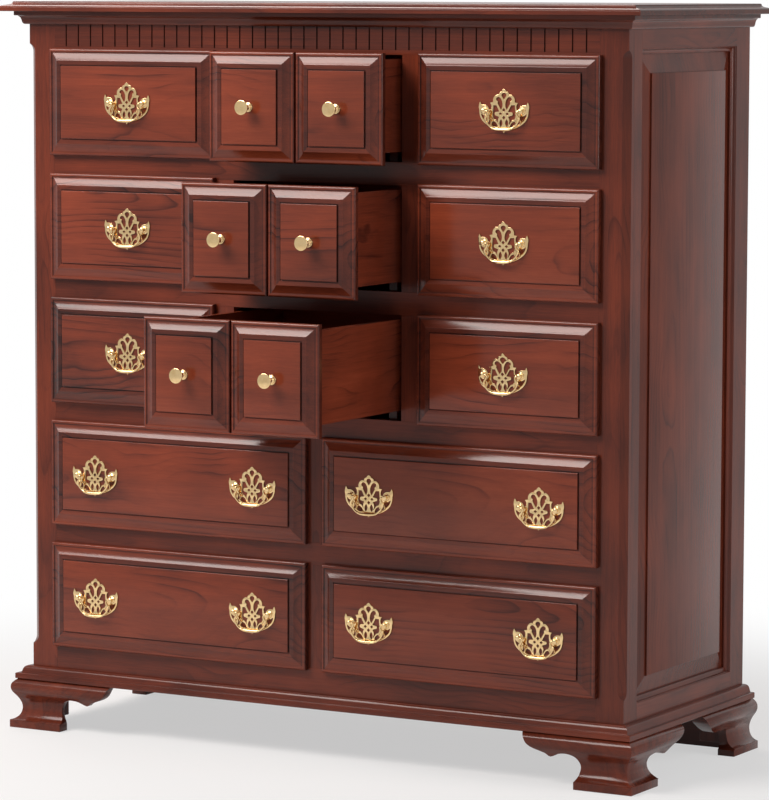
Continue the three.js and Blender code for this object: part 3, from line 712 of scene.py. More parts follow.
# The frieze rail behind the reeds, with a plain band below and above them and a filler at each end
def friezeRail(build):
    depth, low, high = kerfs["depth"], reedLow, reedHigh
    outline = [(0, topHead), (0, low), (depth, low), (depth, high), (0, high), (0, caseTop),
               (case["face"], caseTop), (case["face"], topHead)]
    rings = [[(x, y, z) for y, z in outline] for x in (-frameInner, frameInner)]
    loft(build, rings, "xzy", 47, range(len(outline)), figure=frames["figure"])
    for side in (-1, 1):
        ends = sorted((side * frameInner, side * (frameInner - kerfs["width"] / 2 - kerfs["ease"])))
        tall = (low - kerfs["lap"], high + kerfs["lap"])
        board(build, ends, (0, depth + kerfs["bury"]), tall, "xzy", 47, kerfs["tight"])


def newTree(name, sockets):
    tree = bpy.data.node_groups.new(name, "GeometryNodeTree")
    for label, kind in sockets.items():
        tree.interface.new_socket(label, in_out="INPUT", socket_type="NodeSocket" + kind)
    tree.interface.new_socket("Geometry", in_out="OUTPUT", socket_type="NodeSocketGeometry")
    return tree, tree.nodes.new("NodeGroupInput").outputs


# Ends a tree: instances become one mesh, which carries its grain and its material
def closeTree(tree, instances, inputs):
    realize = addNode(tree, "GeometryNodeRealizeInstances", {"Geometry": instances})
    place = addNode(tree, "GeometryNodeInputPosition").outputs["Position"]
    grain = addNode(tree, "ShaderNodeVectorMath", {0: place, 1: inputs["Grain Shift"]}, operation="ADD")
    store = addNode(tree, "GeometryNodeStoreNamedAttribute",
                    {"Geometry": realize.outputs["Geometry"], "Name": "grain",
                     "Value": grain.outputs["Vector"]}, data_type="FLOAT_VECTOR", domain="POINT")
    paint = addNode(tree, "GeometryNodeSetMaterial",
                    {"Geometry": store.outputs["Geometry"], "Material": inputs["Material"]})
    addNode(tree, "NodeGroupOutput", {"Geometry": paint.outputs["Geometry"]})
    return tree


# Copies of one block in a straight row along X
def rowTree():
    tree, inputs = newTree("reedRow", {"Count": "Int", "Pitch": "Float", "Start": "Vector", "Block": "Object",
                                       "Grain Shift": "Vector", "Material": "Material"})
    step = addNode(tree, "ShaderNodeCombineXYZ", {"X": inputs["Pitch"]})
    line = addNode(tree, "GeometryNodeMeshLine",
                   {"Count": inputs["Count"], "Start Location": inputs["Start"], "Offset": step.outputs[0]})
    source = addNode(tree, "GeometryNodeObjectInfo", {"Object": inputs["Block"]})
    copies = addNode(tree, "GeometryNodeInstanceOnPoints",
                     {"Points": line.outputs["Mesh"], "Instance": source.outputs["Geometry"]})
    return closeTree(tree, copies.outputs["Instances"], inputs)


# Copies of one screw at an even spacing round a rectangle that stands in X and Z, each turned its own way
def borderTree():
    tree, inputs = newTree("screwBorder", {"Width": "Float", "Height": "Float", "Spacing": "Float",
                                           "Middle": "Vector", "Seed": "Int", "Screw": "Object",
                                           "Grain Shift": "Vector", "Material": "Material"})
    border = addNode(tree, "GeometryNodeCurvePrimitiveQuadrilateral",
                     {"Width": inputs["Width"], "Height": inputs["Height"]})
    spaced = addNode(tree, "GeometryNodeResampleCurve",
                     {"Curve": border.outputs["Curve"], "Length": inputs["Spacing"]}, mode="LENGTH")
    stand = addNode(tree, "GeometryNodeTransform",
                    {"Geometry": spaced.outputs["Curve"], "Translation": inputs["Middle"],
                     "Rotation": (math.pi / 2, 0, 0)})
    dice = addNode(tree, "FunctionNodeRandomValue", {"Min": 0, "Max": math.tau, "Seed": inputs["Seed"]})
    turned = addNode(tree, "ShaderNodeCombineXYZ", {"Y": dice.outputs["Value"]})
    source = addNode(tree, "GeometryNodeObjectInfo", {"Object": inputs["Screw"]})
    copies = addNode(tree, "GeometryNodeInstanceOnPoints",
                     {"Points": stand.outputs["Geometry"], "Instance": source.outputs["Geometry"],
                      "Rotation": turned.outputs[0]})
    return closeTree(tree, copies.outputs["Instances"], inputs)


# Runs a tree with the named values and keeps its result as a plain mesh; the block that it copied goes
def grown(name, tree, values, source, body):
    holder = addObject(name, bpy.data.meshes.new(name))
    modifier = holder.modifiers.new("grow", "NODES")
    modifier.node_group = tree
    for item in tree.interface.items_tree:
        if item.in_out == "INPUT":
            modifier[item.identifier] = values[item.name]
    mesh = evaluatedMesh(holder)
    holder.modifiers.clear()
    holder.data = mesh
    mesh.name = name
    bpy.data.objects.remove(source)
    dress(holder, None, body)


def friezeReeds():
    count, tight = kerfs["count"] + 1, kerfs["tight"]
    pitch = 2 * frameInner / count
    half = (pitch - kerfs["width"]) / 2
    block = newBuild()
    board(block, (-half, half), (0, kerfs["depth"] + kerfs["bury"]), (reedLow + tight, reedHigh - tight),
          "xzy", 48, kerfs["ease"])
    source = plainPiece(block)
    values = {"Count": count, "Pitch": pitch / 1000, "Start": ((pitch / 2 - frameInner) / 1000, 0, 0),
              "Block": source, "Grain Shift": (2.13, -1.32, 0.07), "Material": shadedFrameCherry}
    grown("frieze_reeds", rowTree(), values, source, "case")


frameBuild = newBuild()
faceFrame(frameBuild)
friezeRail(frameBuild)
webFrames(frameBuild)
casePiece("face_and_web_frames", frameBuild, "divider_frame")
friezeReeds()
print("frames made")


# Side frames, side panels and back

# The stick is the moulded inner edge: (across, down from the face) points before and after a quarter round
sides = {"front": 54, "rear": 58, "top": 52, "bottom": 57, "stickWidth": 10, "stickDepth": 9, "lip": 4,
         "stickHead": [(0, 0.4), (0.5, 1.4), (1.4, 2.0)], "round": (7.2, 5.6), "roundSteps": 8,
         "stickFoot": [(9.0, 7.9), (10, 9), (10, 13), (0, 13)],
         "bevel": 34, "bevelRise": 7.5, "bevelPower": 1.25, "bevelSteps": 8, "fieldStep": 4,
         "ease": 0.25, "railEase": 0.15, "railFigure": 0.4, "panelFigure": 0.8}


def sideRing(side, x, offset):
    y0, y1 = sides["front"] + offset, case["depth"] - sides["rear"] - offset
    z0, z1 = caseBottom + sides["bottom"] + offset, caseTop - sides["top"] - offset
    return [(side * x, y0, z0), (side * x, y1, z0), (side * x, y1, z1), (side * x, y0, z1)]


def sideFrame(side, node):
    build = newBuild()
    xs = sorted((side * halfWidth, side * (halfWidth - case["side"])))
    front, rear = case["face"] + case["gap"], case["depth"]
    (_, y0, z0), _, (_, y1, z1), _ = sideRing(1, 0, 0)
    ease, railEase, figure = sides["ease"], sides["railEase"], sides["railFigure"]
    seed = 200 + 20 * side
    board(build, xs, (front, y0), (caseBottom, caseTop), "zyx", seed, ease)
    board(build, xs, (y1, rear), (caseBottom, caseTop), "zyx", seed + 1, ease)
    board(build, xs, (y0, y1), (z1, caseTop), "yzx", seed + 2, railEase, figure)
    board(build, xs, (y0, y1), (caseBottom, z0), "yzx", seed + 3, railEase, figure)
    (startX, startY), (wide, deep) = sides["stickHead"][-1], sides["round"]
    stick = sides["stickHead"] + [(startX + wide * s, startY + deep * (1 - (1 - s) ** 2) ** 0.5)
                                  for s in shares(sides["roundSteps"])] + sides["stickFoot"]
    loops = [sideRing(side, halfWidth - down, across) for across, down in stick]
    for k, axes in enumerate(("yzx", "zyx", "yzx", "zyx")):
        loft(build, [[loop[k] for loop in loops], [loop[(k + 1) % 4] for loop in loops]], axes, seed + 4 + k)
    casePiece(node + "_moulded", build, node)


# A raised panel: a lip in the frame's rebate, a bevel that steepens inward, a small step and the flat field
def sidePanel(side, node):
    build = newBuild()
    lipBack = halfWidth - sides["stickDepth"] - sides["lip"] - case["gap"]
    inner = halfWidth - case["side"] + case["gap"]
    edge, head = sides["stickWidth"] + case["gap"], sides["stickWidth"] + sides["bevel"]
    foot = lipBack + sides["bevelRise"]
    field = foot + sides["fieldStep"]
    profile = [(inner, case["gap"]), (lipBack, case["gap"]), (lipBack, edge)]
    profile += [(lipBack + sides["bevelRise"] * (s ** sides["bevelPower"]), edge + (head - edge) * s)
                for s in shares(sides["bevelSteps"])]
    profile += [(foot + 0.2, head + 0.15), (field - 1.0, head + 0.25), (field - 0.3, head + 0.55),
                (field, head + 1.3)]
    rings = [sideRing(side, x, offset) for x, offset in profile]
    loft(build, rings, "zyx", 240 + side, range(4), figure=sides["panelFigure"])
    casePiece(node + "_raised", build, node)


for side, word in ((1, "right"), (-1, "left")):
    sideFrame(side, word + "_side_frame")
    sidePanel(side, word + "_side_panel")
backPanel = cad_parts["back_panel"]
backPanel.data.materials.clear()
backPanel.data.materials.append(backWood)

# The rings of a screw's head are shares of its radius and rise
screws = {"radius": 3.6, "rise": 1.5, "arm": 2.2, "slot": 0.9, "spacing": 196, "margin": 16,
          "rings": [(1, 0), (1, 0.35), (0.9, 0.8), (0.75, 1)], "slotFoot": (0.9, 0.3)}


# A countersunk screw head with a cross slot, facing +Y with its back at y = 0
def screwHead():
    build = newBuild()
    radius, rise, arm, half = screws["radius"], screws["rise"], screws["arm"], screws["slot"] / 2
    cross = [(arm, half), (half, half), (half, arm), (-half, arm), (-half, half), (-arm, half),
             (-arm, -half), (-half, -half), (-half, -arm), (half, -arm), (half, -half), (arm, -half)]
    around = [math.atan2(z, x) for x, z in cross]
    narrow, low = screws["slotFoot"]
    rings = [[(radius * share * math.cos(a), rise * up, radius * share * math.sin(a)) for a in around]
             for share, up in screws["rings"]]
    rings += [[(x, rise, z) for x, z in cross], [(x * narrow, rise * low, z * narrow) for x, z in cross]]
    loft(build, rings)
    source = plainPiece(build)
    source.data.transform(Matrix.Translation((0, -originY / 1000, 0)))
    return source


def backScrews():
    low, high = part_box("back_panel")
    source = screwHead()
    margin = screws["margin"] / 1000
    middle = ((low.x + high.x) / 2, high.y, (low.z + high.z) / 2)
    values = {"Width": high.x - low.x - 2 * margin, "Height": high.z - low.z - 2 * margin,
              "Spacing": screws["spacing"] / 1000, "Middle": middle, "Seed": 7, "Screw": source,
              "Grain Shift": (0, 0, 0), "Material": steel}
    grown("back_screws", borderTree(), values, source, "case")


backScrews()
print("sides and back made")


# Ogee bracket feet

# The face is in shares of the outset and the height, from the pad up. An arch is in shares of the bracket's
# run and height, along its lower edge from the pad to the tip.
feet = {
    "outset": 34, "run": 196, "rearRun": 230, "frontStock": 26, "sideStock": 34, "board": 34,
    "boardFlat": 150, "boardCurve": [(164, 18), (186, 86)], "block": 50, "blockRise": 20, "blockEase": 0.8,
    "ease": 0.9, "easeAngle": 38, "smooth": 24, "overrun": 9, "headOverrun": 5,
    "face": [(1, 0.008), (1, 0.145), (0.985, 0.155), (0.93, 0.16), (0.8, 0.18), (0.62, 0.23), (0.5, 0.31),
             (0.46, 0.42), (0.52, 0.52), (0.66, 0.62), (0.86, 0.72), (0.95, 0.8), (0.94, 0.88),
             (0.84, 0.94), (0.63, 1)],
    "frontArch": [(0.431, 0.12), (0.428, 0.17), (0.41, 0.27), (0.398, 0.41), (0.415, 0.52), (0.455, 0.61),
                  (0.53, 0.655), (0.62, 0.635), (0.71, 0.56), (0.765, 0.63), (0.875, 0.71), (0.935, 0.79),
                  (0.967, 0.89), (1, 1)],
    "sideArch": [(0.386, 0.134), (0.399, 0.185), (0.373, 0.274), (0.347, 0.365), (0.333, 0.471),
                 (0.342, 0.546), (0.376, 0.593), (0.47, 0.616), (0.55, 0.6), (0.696, 0.522), (0.823, 0.671),
                 (0.897, 0.756), (0.954, 0.85), (0.988, 0.936), (1, 1)],
    "rearArch": [(0.472, 0.123), (0.4535, 0.16), (0.446, 0.247), (0.451, 0.385), (0.475, 0.5),
                 (0.513, 0.556), (0.652, 0.57), (0.73, 0.576), (0.812, 0.647), (0.88, 0.728),
                 (0.935, 0.807), (0.973, 0.875), (1, 1)],
}
footHeight = case["footHeight"]


# The blank less the cutter, with its edges eased
def carved(blank, cutter):
    body, tool = plainPiece(blank), plainPiece(cutter)
    carve = body.modifiers.new("carve", "BOOLEAN")
    carve.operation, carve.solver, carve.object = "DIFFERENCE", "EXACT", tool
    carve.use_self = False
    soften = body.modifiers.new("soften", "BEVEL")
    soften.width, soften.segments = feet["ease"] / 1000, 2
    soften.limit_method, soften.angle_limit = "ANGLE", math.radians(feet["easeAngle"])
    mesh = evaluatedMesh(body)
    for thing in (body, tool):
        bpy.data.objects.remove(thing)
    closeMesh(mesh, 1e-5)
    return mesh


# place turns (distance from the corner, depth behind the corner's plane, height) into case coordinates
def bracket(place, run, stock, arch, axes, seed, mitred=True):
    outset, over = feet["outset"], feet["overrun"]
    inner, pad = stock - outset, footHeight * feet["face"][0][1]
    profile = [(-outset * out, footHeight * up) for out, up in smoothLine(feet["face"], 3)]
    profile += [(inner, footHeight), (inner, pad)]
    blank = newBuild()
    near = [(d if mitred else 0, d, z) for d, z in profile]
    loft(blank, [[place(*p) for p in near], [place(run, d, z) for d, z in profile]], axes, seed)
    head = footHeight + feet["headOverrun"]
    edge = [(arch[0][0] * run, -over)] + [(a * run, b * footHeight) for a, b in smoothLine(arch, 3)]
    edge += [(run, head), (run + over, head), (run + over, -over)]
    cutter = newBuild()
    loft(cutter, [[place(a, d, z) for a, z in edge] for d in (-outset - over, inner + over)], axes, seed)
    return carved(blank, cutter)


# Two mitred wings at the front, or a wing and a plain board at the rear, round a glue block
def footPiece(node, side, front):
    corner, depth, block = side * halfWidth, case["depth"], feet["block"]
    run, stock = feet["run"], feet["sideStock"]
    inner = stock - feet["outset"]
    blockX, blockZ = sorted((corner - side * inner, corner - side * block)), (feet["blockRise"], footHeight)
    extra = newBuild()

    def alongFront(a, d, z):
        return corner - side * a, d, z

    def alongSide(a, d, z):
        return corner - side * d, a, z

    def fromRear(a, d, z):
        return corner - side * d, depth - a, z

    if front:
        meshes = [bracket(alongFront, run, feet["frontStock"], feet["frontArch"], "xzy", 300 + side),
                  bracket(alongSide, run, stock, feet["sideArch"], "yzx", 304 + side)]
        blockY = (feet["frontStock"] - feet["outset"], block)
        board(extra, blockX, blockY, blockZ, "zxy", 308 + side, feet["blockEase"])
    else:
        meshes = [bracket(fromRear, feet["rearRun"], stock, feet["rearArch"], "yzx", 312 + side, False)]
        boardFront = depth - feet["board"]
        outline = [(inner, 0), (feet["boardFlat"], 0), *feet["boardCurve"]]
        outline += [(run, footHeight), (inner, footHeight)]
        rings = [[(corner - side * a, y, z) for a, z in outline] for y in (boardFront, depth)]
        loft(extra, rings, "xzy", 316 + side)
        board(extra, blockX, (boardFront - block, boardFront), blockZ, "zxy", 320 + side, feet["blockEase"])
    plain = plainPiece(extra)
    joined = bmesh.new()
    for mesh in (*meshes, plain.data):
        joined.from_mesh(mesh)
    bpy.data.objects.remove(plain)
    mesh = bpy.data.meshes.new(node + "_ogee")
    joined.to_mesh(mesh)
    joined.free()
    shadeSmooth(mesh, feet["smooth"])
    dress(addObject(node + "_ogee", mesh), shadedFrameCherry, "case", [node])


for side, word in ((-1, "left"), (1, "right")):
    footPiece(f"front_{word}_foot", side, True)
    footPiece(f"rear_{word}_foot", side, False)
print("feet made")


# Drawers

# boardStainAndShade lists the fronts painted darker or lighter than the rest: partly the boards' own stain,
# partly painted shade and light, as on r3_left beside the open centre drawer. sideShadeShare and
# sideBorderShade are painted shade for the border's bottom, right, top and left.
fronts = {"lipOverlap": 4, "lip": 12.2, "arris": 3.6, "flat": 5.8, "coveWidth": 16.5, "coveRise": 6.6,
          "coveTurn": (16, 36, 9), "fillet": 0.8, "fieldInset": 33, "fieldStep": 2.9, "fieldArris": 0.9,
          "quirk": 1.5, "groove": 3, "grooveDepth": 7,
          "sideShadeShare": (0.25, 1.0, 1.0, 1.1), "sideBorderShade": (0, 0.02, 0, 0.08),
          "boardStainAndShade": {"r1_left": 0.04, "r1_right": 0.05, "r3_left": 0.17, "r4_right": -0.13,
                         "r2_right": -0.06}}
fieldProud = fronts["lip"] + fronts["coveRise"] + fronts["fieldStep"]


# The border and the raised field's edge, as two lists of (inset, proud, darkening of the span after the
# point, partly glaze left in the recesses and partly painted shade): rounded lip, fillet, hollow and flat
# band with a quirk, then the field
def frontProfile():
    lip, arris, flat = fronts["lip"], fronts["arris"], fronts["flat"]
    border = [(0, 0, 0.1), (0, lip - arris, 0.0)]
    border += [(arris * b, lip - arris + arris * a, 0.02) for a, b in quarter(6)]
    low = lip - fronts["fillet"]
    border += [(flat, lip, 0.3), (flat + 0.2, low, 0.35), (flat + 1.5, low, 0.2)]
    start, foot, band = flat + 1.6, low + 0.05, lip + fronts["coveRise"]
    width = flat + fronts["coveWidth"] - start
    border += [(start + width * a, foot + (band - foot) * b, 0.06) for a, b in arc(*fronts["coveTurn"])]
    inset, small, quirk = fronts["fieldInset"], fronts["fieldArris"], band - fronts["quirk"]
    border += [(flat + fronts["coveWidth"] + 0.5, band + 0.05, 0.22), (inset - 2.2, band, 0.3),
               (inset - 1.6, quirk, 0.35), (inset - 0.3, quirk, 0.35)]
    top = fieldProud - small
    field = [(inset, quirk + 0.3, 0.12), (inset, top, 0.0)]
    field += [(inset + small * b, top + small * a, 0.0) for a, b in quarter(3)]
    return border, field


# One raised block: its rings run from the back face over the border to the field
def frontBlock(build, x0, x1, z0, z1, back, seed, stainAndShade):
    border, field = frontProfile()
    profile = border + field
    rings = [[(x0 + i, back - p, z0 + i), (x1 - i, back - p, z0 + i), (x1 - i, back - p, z1 - i),
              (x0 + i, back - p, z1 - i)] for i, p, _ in profile]

    def glazeAndShade(r, k):
        # Painted shade that differs from side to side of the border, on top of the board's stain and shade
        extra = fronts["sideBorderShade"][k] if r < len(border) else 0
        return stainAndShade + profile[r][2] * fronts["sideShadeShare"][k] + extra

    loft(build, rings, "xzy", seed, range(4), glazeAndShade=glazeAndShade)
    build["glazeAndShade"][-1] = stainAndShade


# A box side in Y and Z with dovetail sockets at both ends, and the pins that fill them
def dovetailedSide(build, x, y, z, seed):
    wall, count, slack = boxes["wall"], boxes["tails"], boxes["pinSlack"]
    narrow, wide = boxes["pinNarrow"] / 2, boxes["pinWide"] / 2
    middles = [z[0] + (z[1] - z[0]) / count * k for k in range(1, count)]

    def socket(end, way, middle, up, slack=0):
        return [(end, middle - up * (narrow - slack)), (end + way * wall, middle - up * (wide - slack)),
                (end + way * wall, middle + up * (wide - slack)), (end, middle + up * (narrow - slack))]

    near = [p for middle in middles for p in socket(y[0], 1, middle, 1)]
    far = [p for middle in reversed(middles) for p in socket(y[1], -1, middle, -1)]
    outline = [(y[0], z[0]), *near, (y[0], z[1]), (y[1], z[1]), *far, (y[1], z[0])]
    loft(build, [[(a, *p) for p in outline] for a in x], "yzx", seed, (), figure=0.7)
    for end, way in ((y[0], 1), (y[1], -1)):
        for k, middle in enumerate(middles, 1):
            pin = socket(end, way, middle, 1, slack)
            loft(build, [[(a, *p) for p in pin] for a in (x[0] + slack, x[1] - slack)], "xzy", seed + 7 * k)


# A raised front, or two over a groove, on a dovetailed box
def drawerPiece(drawer):
    x0, x1, z0, z1 = drawer["span"]
    back, body, lap = drawer["back"], drawer["body"], fronts["lipOverlap"]
    seed = 400 + 31 * (drawer["row"] * 3 + int(x0 // 200 + 4))
    # The board's own stain, partly painted shade and light as each front is lit
    stainAndShade = fronts["boardStainAndShade"].get(drawer["name"], 0)
    left, right = x0 - lap, x1 + lap
    middle, half = (left + right) / 2, fronts["groove"] / 2
    build = newBuild()
    spans = [(left, middle - half), (middle + half, right)] if drawer["centre"] else [(left, right)]
    for k, (a, b) in enumerate(spans):
        frontBlock(build, a, b, z0 - lap, z1 + lap, back, seed + k, stainAndShade)
    if drawer["centre"]:
        grooveFloor = back + fronts["grooveDepth"] - fronts["lip"]
        board(build, (middle - half - 1, middle + half + 1), (grooveFloor, back),
              (z0 - lap + 0.2, z1 + lap - 0.2), "xzy", seed + 2, 0.1)
    wall, depth = boxes["wall"], boxes["depth"]
    outer = (x0 + boxes["sideGap"], x1 - boxes["sideGap"])
    inner = (outer[0] + wall, outer[1] - wall)
    tall = (z0 + boxes["footGap"], z1 - boxes["headGap"])
    under = tall[0] + boxes["recess"]
    over = under + boxes["bottom"]
    board(build, inner, (back, back + wall), tall, "xzy", seed + 4, 0.5)
    board(build, inner, (back + depth - wall, back + depth), (over, tall[1]), "xzy", seed + 5, 0.8)
    sheet = (inner[0] - boxes["rebate"], inner[1] + boxes["rebate"])
    board(build, sheet, (back + wall - boxes["plough"], back + depth), (under, over), "xyz", seed + 6, 0.2)
    dovetailedSide(build, (outer[0], inner[0]), (back, back + depth), tall, seed + 8)
    dovetailedSide(build, (inner[1], outer[1]), (back, back + depth), tall, seed + 9)
    finishPiece(body + "_boards", build, cherry, body, [body])


for drawer in drawers:
    drawerPiece(drawer)
print("drawers made")


# Brass: pierced plates, posts, bails and knobs

# The right half of the plate from the finial down, and its openings; c marks a corner
plate = {
    "thickness": 2.0, "roundover": 0.45, "smooth": 40,
    "edge": [(0, 40), (3.2, 38.2), (5.2, 35.6), (8.4, 34.2), (10.3, 31.8), (10.3, 29.4, "c"), (14.5, 29.8),
             (19.2, 27.0), (22.0, 22.4), (22.3, 16.2, "c"), (28.9, 14.9, "c"), (26.4, 11.6), (26.0, 5.4),
             (27.6, 2.4), (30.4, 3.2), (32.0, 6.6), (36.0, 9.9), (41.0, 11.0), (45.8, 10.8, "c"),
             (47.0, 13.0), (49.2, 17.0, "c"), (51.0, 12.4), (51.9, 7.0), (50.9, 1.5), (50.4, -4),
             (48.8, -10.5), (45.4, -16.8), (40.4, -21.8), (33.4, -26.4), (25, -30.4), (14, -33.7),
             (4.4, -35.2, "c"), (2.0, -37.2)],
    "tip": (0, -40, "c"),
    "holes": [
        [(16.0, 21.6), (14.4, 24.5), (10.2, 25.5), (6.6, 22.8), (4.2, 18.4), (3.0, 13), (3.5, 7.4),
         (5.9, 2.5, "c"), (8.4, 6.4), (10.7, 10.2), (12.9, 14.2, "c"), (12.7, 17.6), (14.4, 18.6, "c")],
        [(22.6, 10.8, "c"), (15.0, 10.8, "c"), (8.6, -1.2, "c"), (17.4, -2.4, "c"), (18.4, -5.0),
         (17.4, -7.6, "c"), (9.0, -10.3, "c"), (11.4, -15.6), (11.2, -20.4), (9.5, -25.0, "c"),
         (10.7, -24.8, "c"), (13.6, -20.6), (17.2, -16.6, "c"), (20.6, -15.4), (23.6, -9), (23.6, -2),
         (22.8, 5)],
        [(6.9, -2.4, "c"), (10.2, -4.9, "c"), (6.9, -7.5, "c"), (3.6, -4.9, "c")],
        [(5.7, -14.6, "c"), (8.7, -19.6), (8.5, -24.8), (6.6, -29.0, "c"), (3.7, -25), (3.0, -19.8)],
        [(22.6, -18.6, "c"), (17.6, -20.2), (13.4, -25.4), (12.4, -29.4, "c"), (18.2, -29.2),
         (24.8, -26.0, "c"), (24.6, -21.6)],
        [(46.8, -5.0, "c"), (45.6, -9.6), (42.0, -14.8), (37.0, -18.8, "c"), (33.6, -14.4),
         (33.6, -9.6, "c"), (39.6, -8.9)],
        [(30.4, -14.0, "c"), (33.2, -19.4), (32.4, -22.6), (29.0, -25.0, "c"), (27.4, -20.6), (28.2, -16.6)],
    ],
    "middleHoles": [
        [(0, 33.0), (3.8, 31.6), (4.9, 28.8), (2.9, 25.2), (0, 21.2, "c"), (-2.9, 25.2), (-4.9, 28.8),
         (-3.8, 31.6)],
        [(0, 5.6, "c"), (3.3, 2.1, "c"), (0, -1.4, "c"), (-3.3, 2.1, "c")],
        [(0, -8.3, "c"), (3.2, -11.7, "c"), (0, -15.2, "c"), (-3.2, -11.7, "c")],
    ],
}


def mirrored(points):
    return [(-p[0], *p[1:]) for p in reversed(points)]


def addSpline(data, points):
    spline = data.splines.new("BEZIER")
    spline.bezier_points.add(len(points) - 1)
    spline.use_cyclic_u = True
    spline.resolution_u = 4
    for knot, point in zip(spline.bezier_points, points):
        knot.co = (point[0] / 1000, point[1] / 1000, 0)
        knot.handle_left_type = knot.handle_right_type = "VECTOR" if len(point) > 2 else "AUTO"


# The plate is drawn as a flat curve in X and Y, then stood up, facing -Y, with its back at y = 0
def plateMesh():
    data = bpy.data.curves.new("plate", "CURVE")
    data.dimensions = "2D"
    data.fill_mode = "BOTH"
    half = plate["thickness"] / 2 - plate["roundover"]
    data.extrude, data.bevel_depth, data.bevel_resolution = half / 1000, plate["roundover"] / 1000, 1
    data.offset = -plate["roundover"] / 1000
    addSpline(data, plate["edge"] + [plate["tip"]] + mirrored(plate["edge"][1:]))
    for hole in plate["middleHoles"]:
        addSpline(data, hole)
    for hole in plate["holes"]:
        addSpline(data, hole)
        addSpline(data, mirrored(hole))
    curve = addObject("plate", data)
    mesh = evaluatedMesh(curve)
    bpy.data.objects.remove(curve)
    standing = Matrix.Rotation(math.pi / 2, 4, "X")
    mesh.transform(Matrix.Translation((0, -plate["thickness"] / 2000, 0)) @ standing)
    closeMesh(mesh, 1e-6)
    shadeSmooth(mesh, plate["smooth"])
    return mesh


# A turned shape about the Y axis from (radius, proud) pairs; petals waves the radius where it is wide enough
def turned(build, profile, centre, segments, petals=None):
    x, y, z = centre
    rings = []
    for radius, proud in profile:
        ring = []
        for k in range(segments):
            angle = k / segments * math.tau
            swell = 1
            if petals and radius > petals["from"]:
                swell += petals["height"] * abs(math.cos(petals["count"] * angle / 2))
            reach = radius * swell
            ring.append((x + reach * math.cos(angle), y - proud, z + reach * math.sin(angle)))
        rings.append(ring)
    loft(build, rings)


# A round bar through (x, z, radius) points at one y
def bar(build, path, y, segments):
    line = smoothLine(path, 5)
    rings = []
    for i, (x, z, radius) in enumerate(line):
        before, after = line[max(i - 1, 0)], line[min(i + 1, len(line) - 1)]
        along = Vector((after[0] - before[0], after[1] - before[1])).normalized()
        ring = []
        for k in range(segments):
            angle = k / segments * math.tau
            across = radius * math.cos(angle)
            ring.append((x + along.y * across, y + radius * math.sin(angle), z - along.x * across))
        rings.append(ring)
    loft(build, rings)


# Posts, bails and knobs stand on the front's field; profiles run from the field outward
posts = {
    "reach": 38.1, "segments": 32, "petals": {"count": 8, "height": 0.12, "from": 4.8},
    "profile": [(0.05, 1.4), (6.6, 1.4), (6.5, 2.3), (5.9, 2.7), (4.9, 2.5), (4.3, 3.0), (3.6, 3.8),
                (3.5, 5.4), (4.1, 6.6), (4.2, 8.8), (3.9, 10.0), (4.6, 10.5), (4.7, 11.2), (4.1, 11.8),
                (2.9, 12.3), (1.4, 12.6), (0.05, 12.6)],
}
# half runs from a pin to the middle of the grip, leaf is the small scroll inside each arm
bails = {
    "pinHeight": 7.5, "offset": 179, "segments": 14, "leafSegments": 10,
    "half": [(39.0, 0, 1.5), (35.0, 0, 1.5), (31.6, -0.2, 1.7), (29.6, -2.4, 2.0), (30.4, -6.5, 2.3),
             (33.2, -10.6, 2.7), (34.3, -14.2, 2.5), (32.8, -18.4, 2.0), (29.5, -23.6, 1.9),
             (24.6, -28.2, 2.0), (20.4, -30.9, 2.3), (18.8, -31.6, 3.0), (17.6, -32.1, 2.2),
             (15.4, -32.6, 2.6), (10.0, -33.2, 3.1)],
    "middle": (0, -33.5, 3.3),
    "leaf": [(33.4, -9.0, 0.3), (30.0, -11.2, 1.3), (27.6, -14.6, 1.5), (27.4, -18.0, 1.2),
             (28.8, -20.6, 0.9), (29.8, -23.0, 0.3)],
}
sharedPlate = plateMesh()


def pullPieces(name, x, z, back, body):
    faceY = back - fieldProud - case["gap"]
    piece = addObject(f"pull_plate_{name}_pierced", sharedPlate.copy())
    piece.data.transform(Matrix.Translation(toScene((x, faceY, z))))
    dress(piece, brass, body, [f"pull_plate_{name}"])
    build = newBuild()
    for side in (-1, 1):
        centre = (x + side * posts["reach"], faceY, z)
        turned(build, posts["profile"], centre, posts["segments"], posts["petals"])
    finishPiece(f"pull_posts_{name}", build, brass, body, ())
    build = newBuild()
    pinY = faceY - plate["thickness"] - bails["pinHeight"]
    path = bails["half"] + [bails["middle"]] + mirrored(bails["half"])
    bar(build, [(x + a, z + b, r) for a, b, r in path], pinY, bails["segments"])
    for leaf in (mirrored(bails["leaf"]), bails["leaf"]):
        bar(build, [(x + a, z + b, r) for a, b, r in leaf], pinY, bails["leafSegments"])
    finishPiece(f"pull_bail_{name}_swan", build, brass, f"bail_{name}", [f"pull_bail_{name}"])


# The profile is in shares of the radius and of how far the knob stands out
knobs = {
    "radius": 14.2, "projection": 28.3, "segments": 40, "smooth": 40, "centre": 0.004,
    "profile": [(0.62, 0.0), (0.66, 0.03), (0.62, 0.07), (0.5, 0.085), (0.48, 0.11), (0.36, 0.14),
                (0.29, 0.2), (0.25, 0.32), (0.26, 0.44), (0.34, 0.54), (0.42, 0.57), (0.45, 0.6),
                (0.4, 0.63), (0.34, 0.68), (0.46, 0.74), (0.8, 0.8), (0.95, 0.85), (0.985, 0.89),
                (0.98, 0.925), (0.93, 0.945), (0.75, 0.962), (0.4, 0.988), (0.004, 0.998)],
}


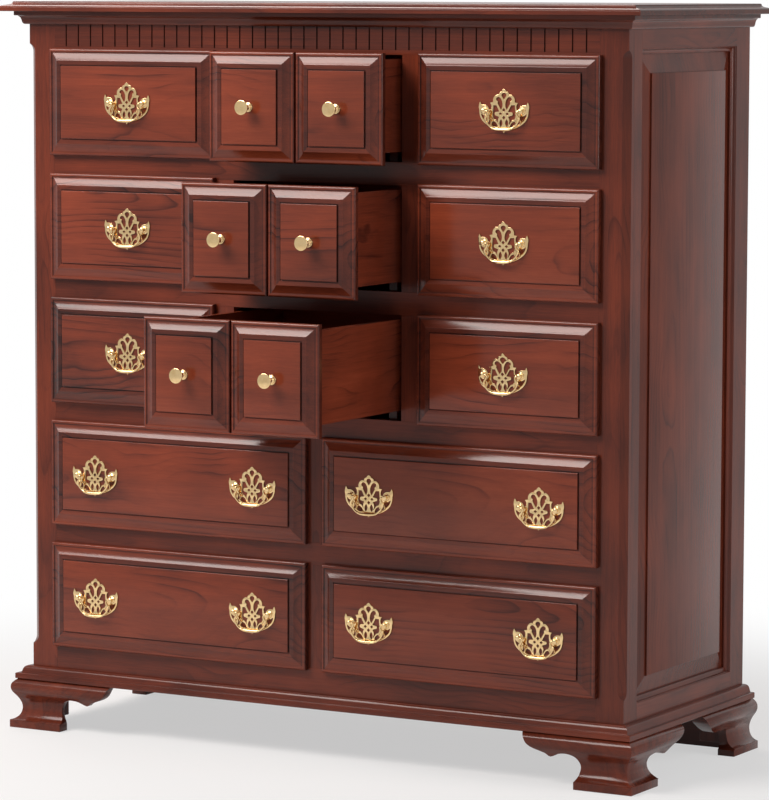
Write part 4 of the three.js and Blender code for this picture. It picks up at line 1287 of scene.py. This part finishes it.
def knobPiece(name, x, z, back, body):
    profile = [(knobs["centre"], 0)] + smoothLine(knobs["profile"], 3)
    profile = [(a * knobs["radius"], b * knobs["projection"]) for a, b in profile]
    build = newBuild()
    turned(build, profile, (x, back - fieldProud - case["gap"], z), knobs["segments"])
    finishPiece(f"knob_{name}_turned", build, brass, body, [f"knob_{name}"], knobs["smooth"])


for drawer in drawers:
    x0, x1, z0, z1 = drawer["span"]
    name, body, back = drawer["name"], drawer["body"], drawer["back"]
    middle, midZ = (x0 + x1) / 2, (z0 + z1) / 2
    if drawer["centre"]:
        offset = ((x1 - x0) / 2 + fronts["lipOverlap"] + fronts["groove"] / 2) / 2
        knobPiece(name + "_a", middle - offset, midZ, back, body)
        knobPiece(name + "_b", middle + offset, midZ, back, body)
    elif drawer["long"]:
        pullPieces(name + "_a", middle - bails["offset"], midZ, back, body)
        pullPieces(name + "_b", middle + bails["offset"], midZ, back, body)
    else:
        pullPieces(name, middle, midZ, back, body)
print("brass made")


# Undermount slides: one member on each runner, one under each drawer

slides = {"width": 11, "low": 15.5, "high": 27.4, "sheet": 1.2, "lip": 5, "headroom": 4, "play": 2,
          "lift": 2.2, "fixedFront": 2, "movingFront": 3, "length": 420}


def slidePieces(drawer):
    x0, x1, z0, _ = drawer["span"]
    back, front = drawer["back"], case["face"]
    reach = boxes["sideGap"] + boxes["wall"] + frames["runnerGap"] + frames["runner"]
    low, high = z0 + slides["low"], z0 + slides["high"]
    fixed, moving = newBuild(), newBuild()
    for side, edge in ((1, x0 + reach), (-1, x1 - reach)):
        a, b = edge + side * case["gap"], edge + side * (slides["width"] + case["gap"])
        sheet, play = slides["sheet"], side * slides["play"]
        lip, head = low + slides["lip"], high - slides["headroom"]
        channel = [(a, low), (b, low), (b, lip), (b - side * sheet, lip), (b - side * sheet, low + sheet),
                   (a + side * sheet, low + sheet), (a + side * sheet, head), (a, head)]
        foot = low + slides["lift"]
        rail = [(a + play, foot), (b - play, foot), (b - play, high), (a + play, high)]
        for build, outline, start, end in (
                (fixed, channel, front + slides["fixedFront"], front + slides["length"]),
                (moving, rail, back + boxes["wall"] + slides["movingFront"], back + slides["length"])):
            loft(build, [[(p, y, q) for p, q in outline] for y in (start, end)])
    finishPiece(f"slide_fixed_{drawer['name']}", fixed, steel, "case")
    finishPiece(f"slide_moving_{drawer['name']}", moving, steel, drawer["body"])


for drawer in drawers:
    slidePieces(drawer)
print("slides made")
